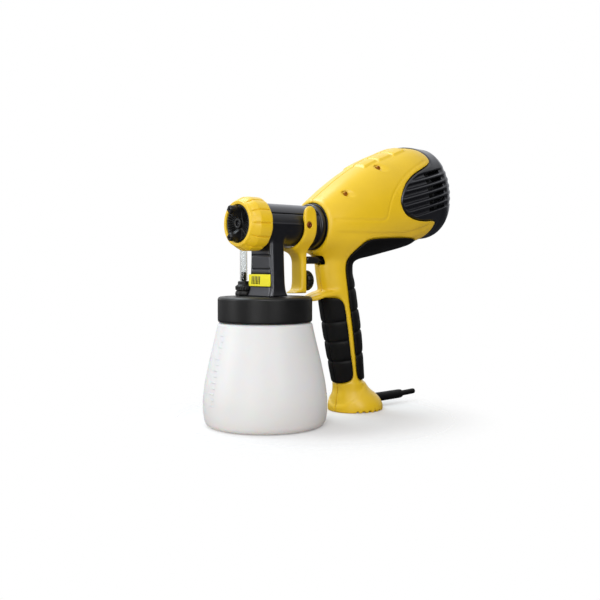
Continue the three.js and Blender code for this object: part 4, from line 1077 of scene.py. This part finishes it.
def floor():
    """A pale floor that fades into the white backdrop, and bounces less light than it shows.

    It turns clear away from the object and stops no light, so a part that comes off downwards stays in sight.
    """
    data = bpy.data.meshes.new("floor")
    corners = [(FLOOR_HALF * x, FLOOR_HALF * y, 0) for x, y in ((-1, -1), (1, -1), (1, 1), (-1, 1))]
    data.from_pydata(corners, [], [[0, 1, 2, 3]])
    made = bpy.data.objects.new("floor", data)
    show(made)
    look = bpy.data.materials.new("floor")
    look.use_nodes = True
    tree = look.node_tree
    tree.nodes.remove(tree.nodes["Principled BSDF"])
    add, link = tree.nodes.new, tree.links.new
    place = add("ShaderNodeTexCoord")
    reach = add("ShaderNodeVectorMath")
    reach.operation = "DISTANCE"
    reach.inputs[1].default_value = FLOOR_CENTRE
    link(place.outputs["Object"], reach.inputs[0])
    fade = mapped(tree, reach.outputs["Value"], *FLOOR_FADE, FLOOR_CLEAR, 1, "SMOOTHSTEP")
    pale = add("ShaderNodeBsdfDiffuse")
    pale.inputs["Color"].default_value = FLOOR_SHOWN
    clear = add("ShaderNodeBsdfTransparent")
    blend = add("ShaderNodeMixShader")
    link(fade, blend.inputs["Fac"])
    link(pale.outputs["BSDF"], blend.inputs[1])
    link(clear.outputs["BSDF"], blend.inputs[2])
    path = add("ShaderNodeLightPath")
    dull = add("ShaderNodeMix")
    dull.data_type = "RGBA"
    dull.inputs["A"].default_value = FLOOR_BOUNCE
    dull.inputs["B"].default_value = FLOOR_MIRRORED
    link(path.outputs["Is Glossy Ray"], dull.inputs["Factor"])
    bounce = add("ShaderNodeBsdfDiffuse")
    link(dull.outputs["Result"], bounce.inputs["Color"])
    lit = add("ShaderNodeMixShader")
    link(path.outputs["Is Shadow Ray"], lit.inputs["Fac"])
    seen_only_by_camera(tree, blend.outputs["Shader"], bounce.outputs["BSDF"], lit.inputs[1])
    link(clear.outputs["BSDF"], lit.inputs[2])
    link(lit.outputs["Shader"], tree.nodes["Material Output"].inputs["Surface"])
    data.materials.append(look)
    made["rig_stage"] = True


def studio():
    """A white backdrop that only the camera sees, dim walls that light the object, and soft lamps."""
    world = bpy.data.worlds.new("studio")
    world.use_nodes = True
    tree = world.node_tree
    add, link = tree.nodes.new, tree.links.new
    backdrop = tree.nodes["Background"]
    backdrop.inputs["Color"].default_value = (1, 1, 1, 1)
    backdrop.inputs["Strength"].default_value = 1.0
    walls = add("ShaderNodeBackground")
    place = add("ShaderNodeTexCoord")
    total = None
    for direction, *light in WALL_LIGHTS:
        facing = add("ShaderNodeVectorMath")
        facing.operation = "DOT_PRODUCT"
        facing.inputs[1].default_value = direction
        link(place.outputs["Generated"], facing.inputs[0])
        strength = mapped(tree, facing.outputs["Value"], *light, "SMOOTHSTEP")
        if total is not None:
            both = add("ShaderNodeMath")
            both.operation = "ADD"
            link(total, both.inputs[0])
            link(strength, both.inputs[1])
            strength = both.outputs["Value"]
        total = strength
    link(total, walls.inputs["Strength"])
    output = tree.nodes["World Output"].inputs["Surface"]
    seen_only_by_camera(tree, backdrop.outputs["Background"], walls.outputs["Background"], output)
    bpy.context.scene.world = world
    for name, at, size, watts, colour in LAMPS:
        lamp = bpy.data.lights.new(name, "AREA")
        lamp.shape = "RECTANGLE"
        lamp.size, lamp.size_y = size
        lamp.energy = watts
        lamp.color = colour
        made = bpy.data.objects.new(name, lamp)
        made.location = at
        made.rotation_euler = (Vector(LAMP_TARGET) - Vector(at)).to_track_quat("-Z", "Y").to_euler()
        made.visible_camera = False
        show(made)


def camera():
    """The camera, level with the trigger at the object's front left."""
    lens = bpy.data.cameras.new("camera")
    lens.sensor_width = 36
    lens.lens = CAMERA_LENS
    lens.clip_start = 0.01
    made = bpy.data.objects.new("camera", lens)
    azimuth, pitch = math.radians(CAMERA_AZIMUTH), math.radians(CAMERA_PITCH)
    level = math.cos(pitch)
    look = Vector((math.sin(azimuth) * level, math.cos(azimuth) * level, -math.sin(pitch)))
    made.location = CAMERA_AT
    made.rotation_euler = look.to_track_quat("-Z", "Y").to_euler()
    show(made)
    bpy.context.scene.camera = made


floor()
studio()
camera()
bpy.context.scene.view_settings.view_transform = "Standard"
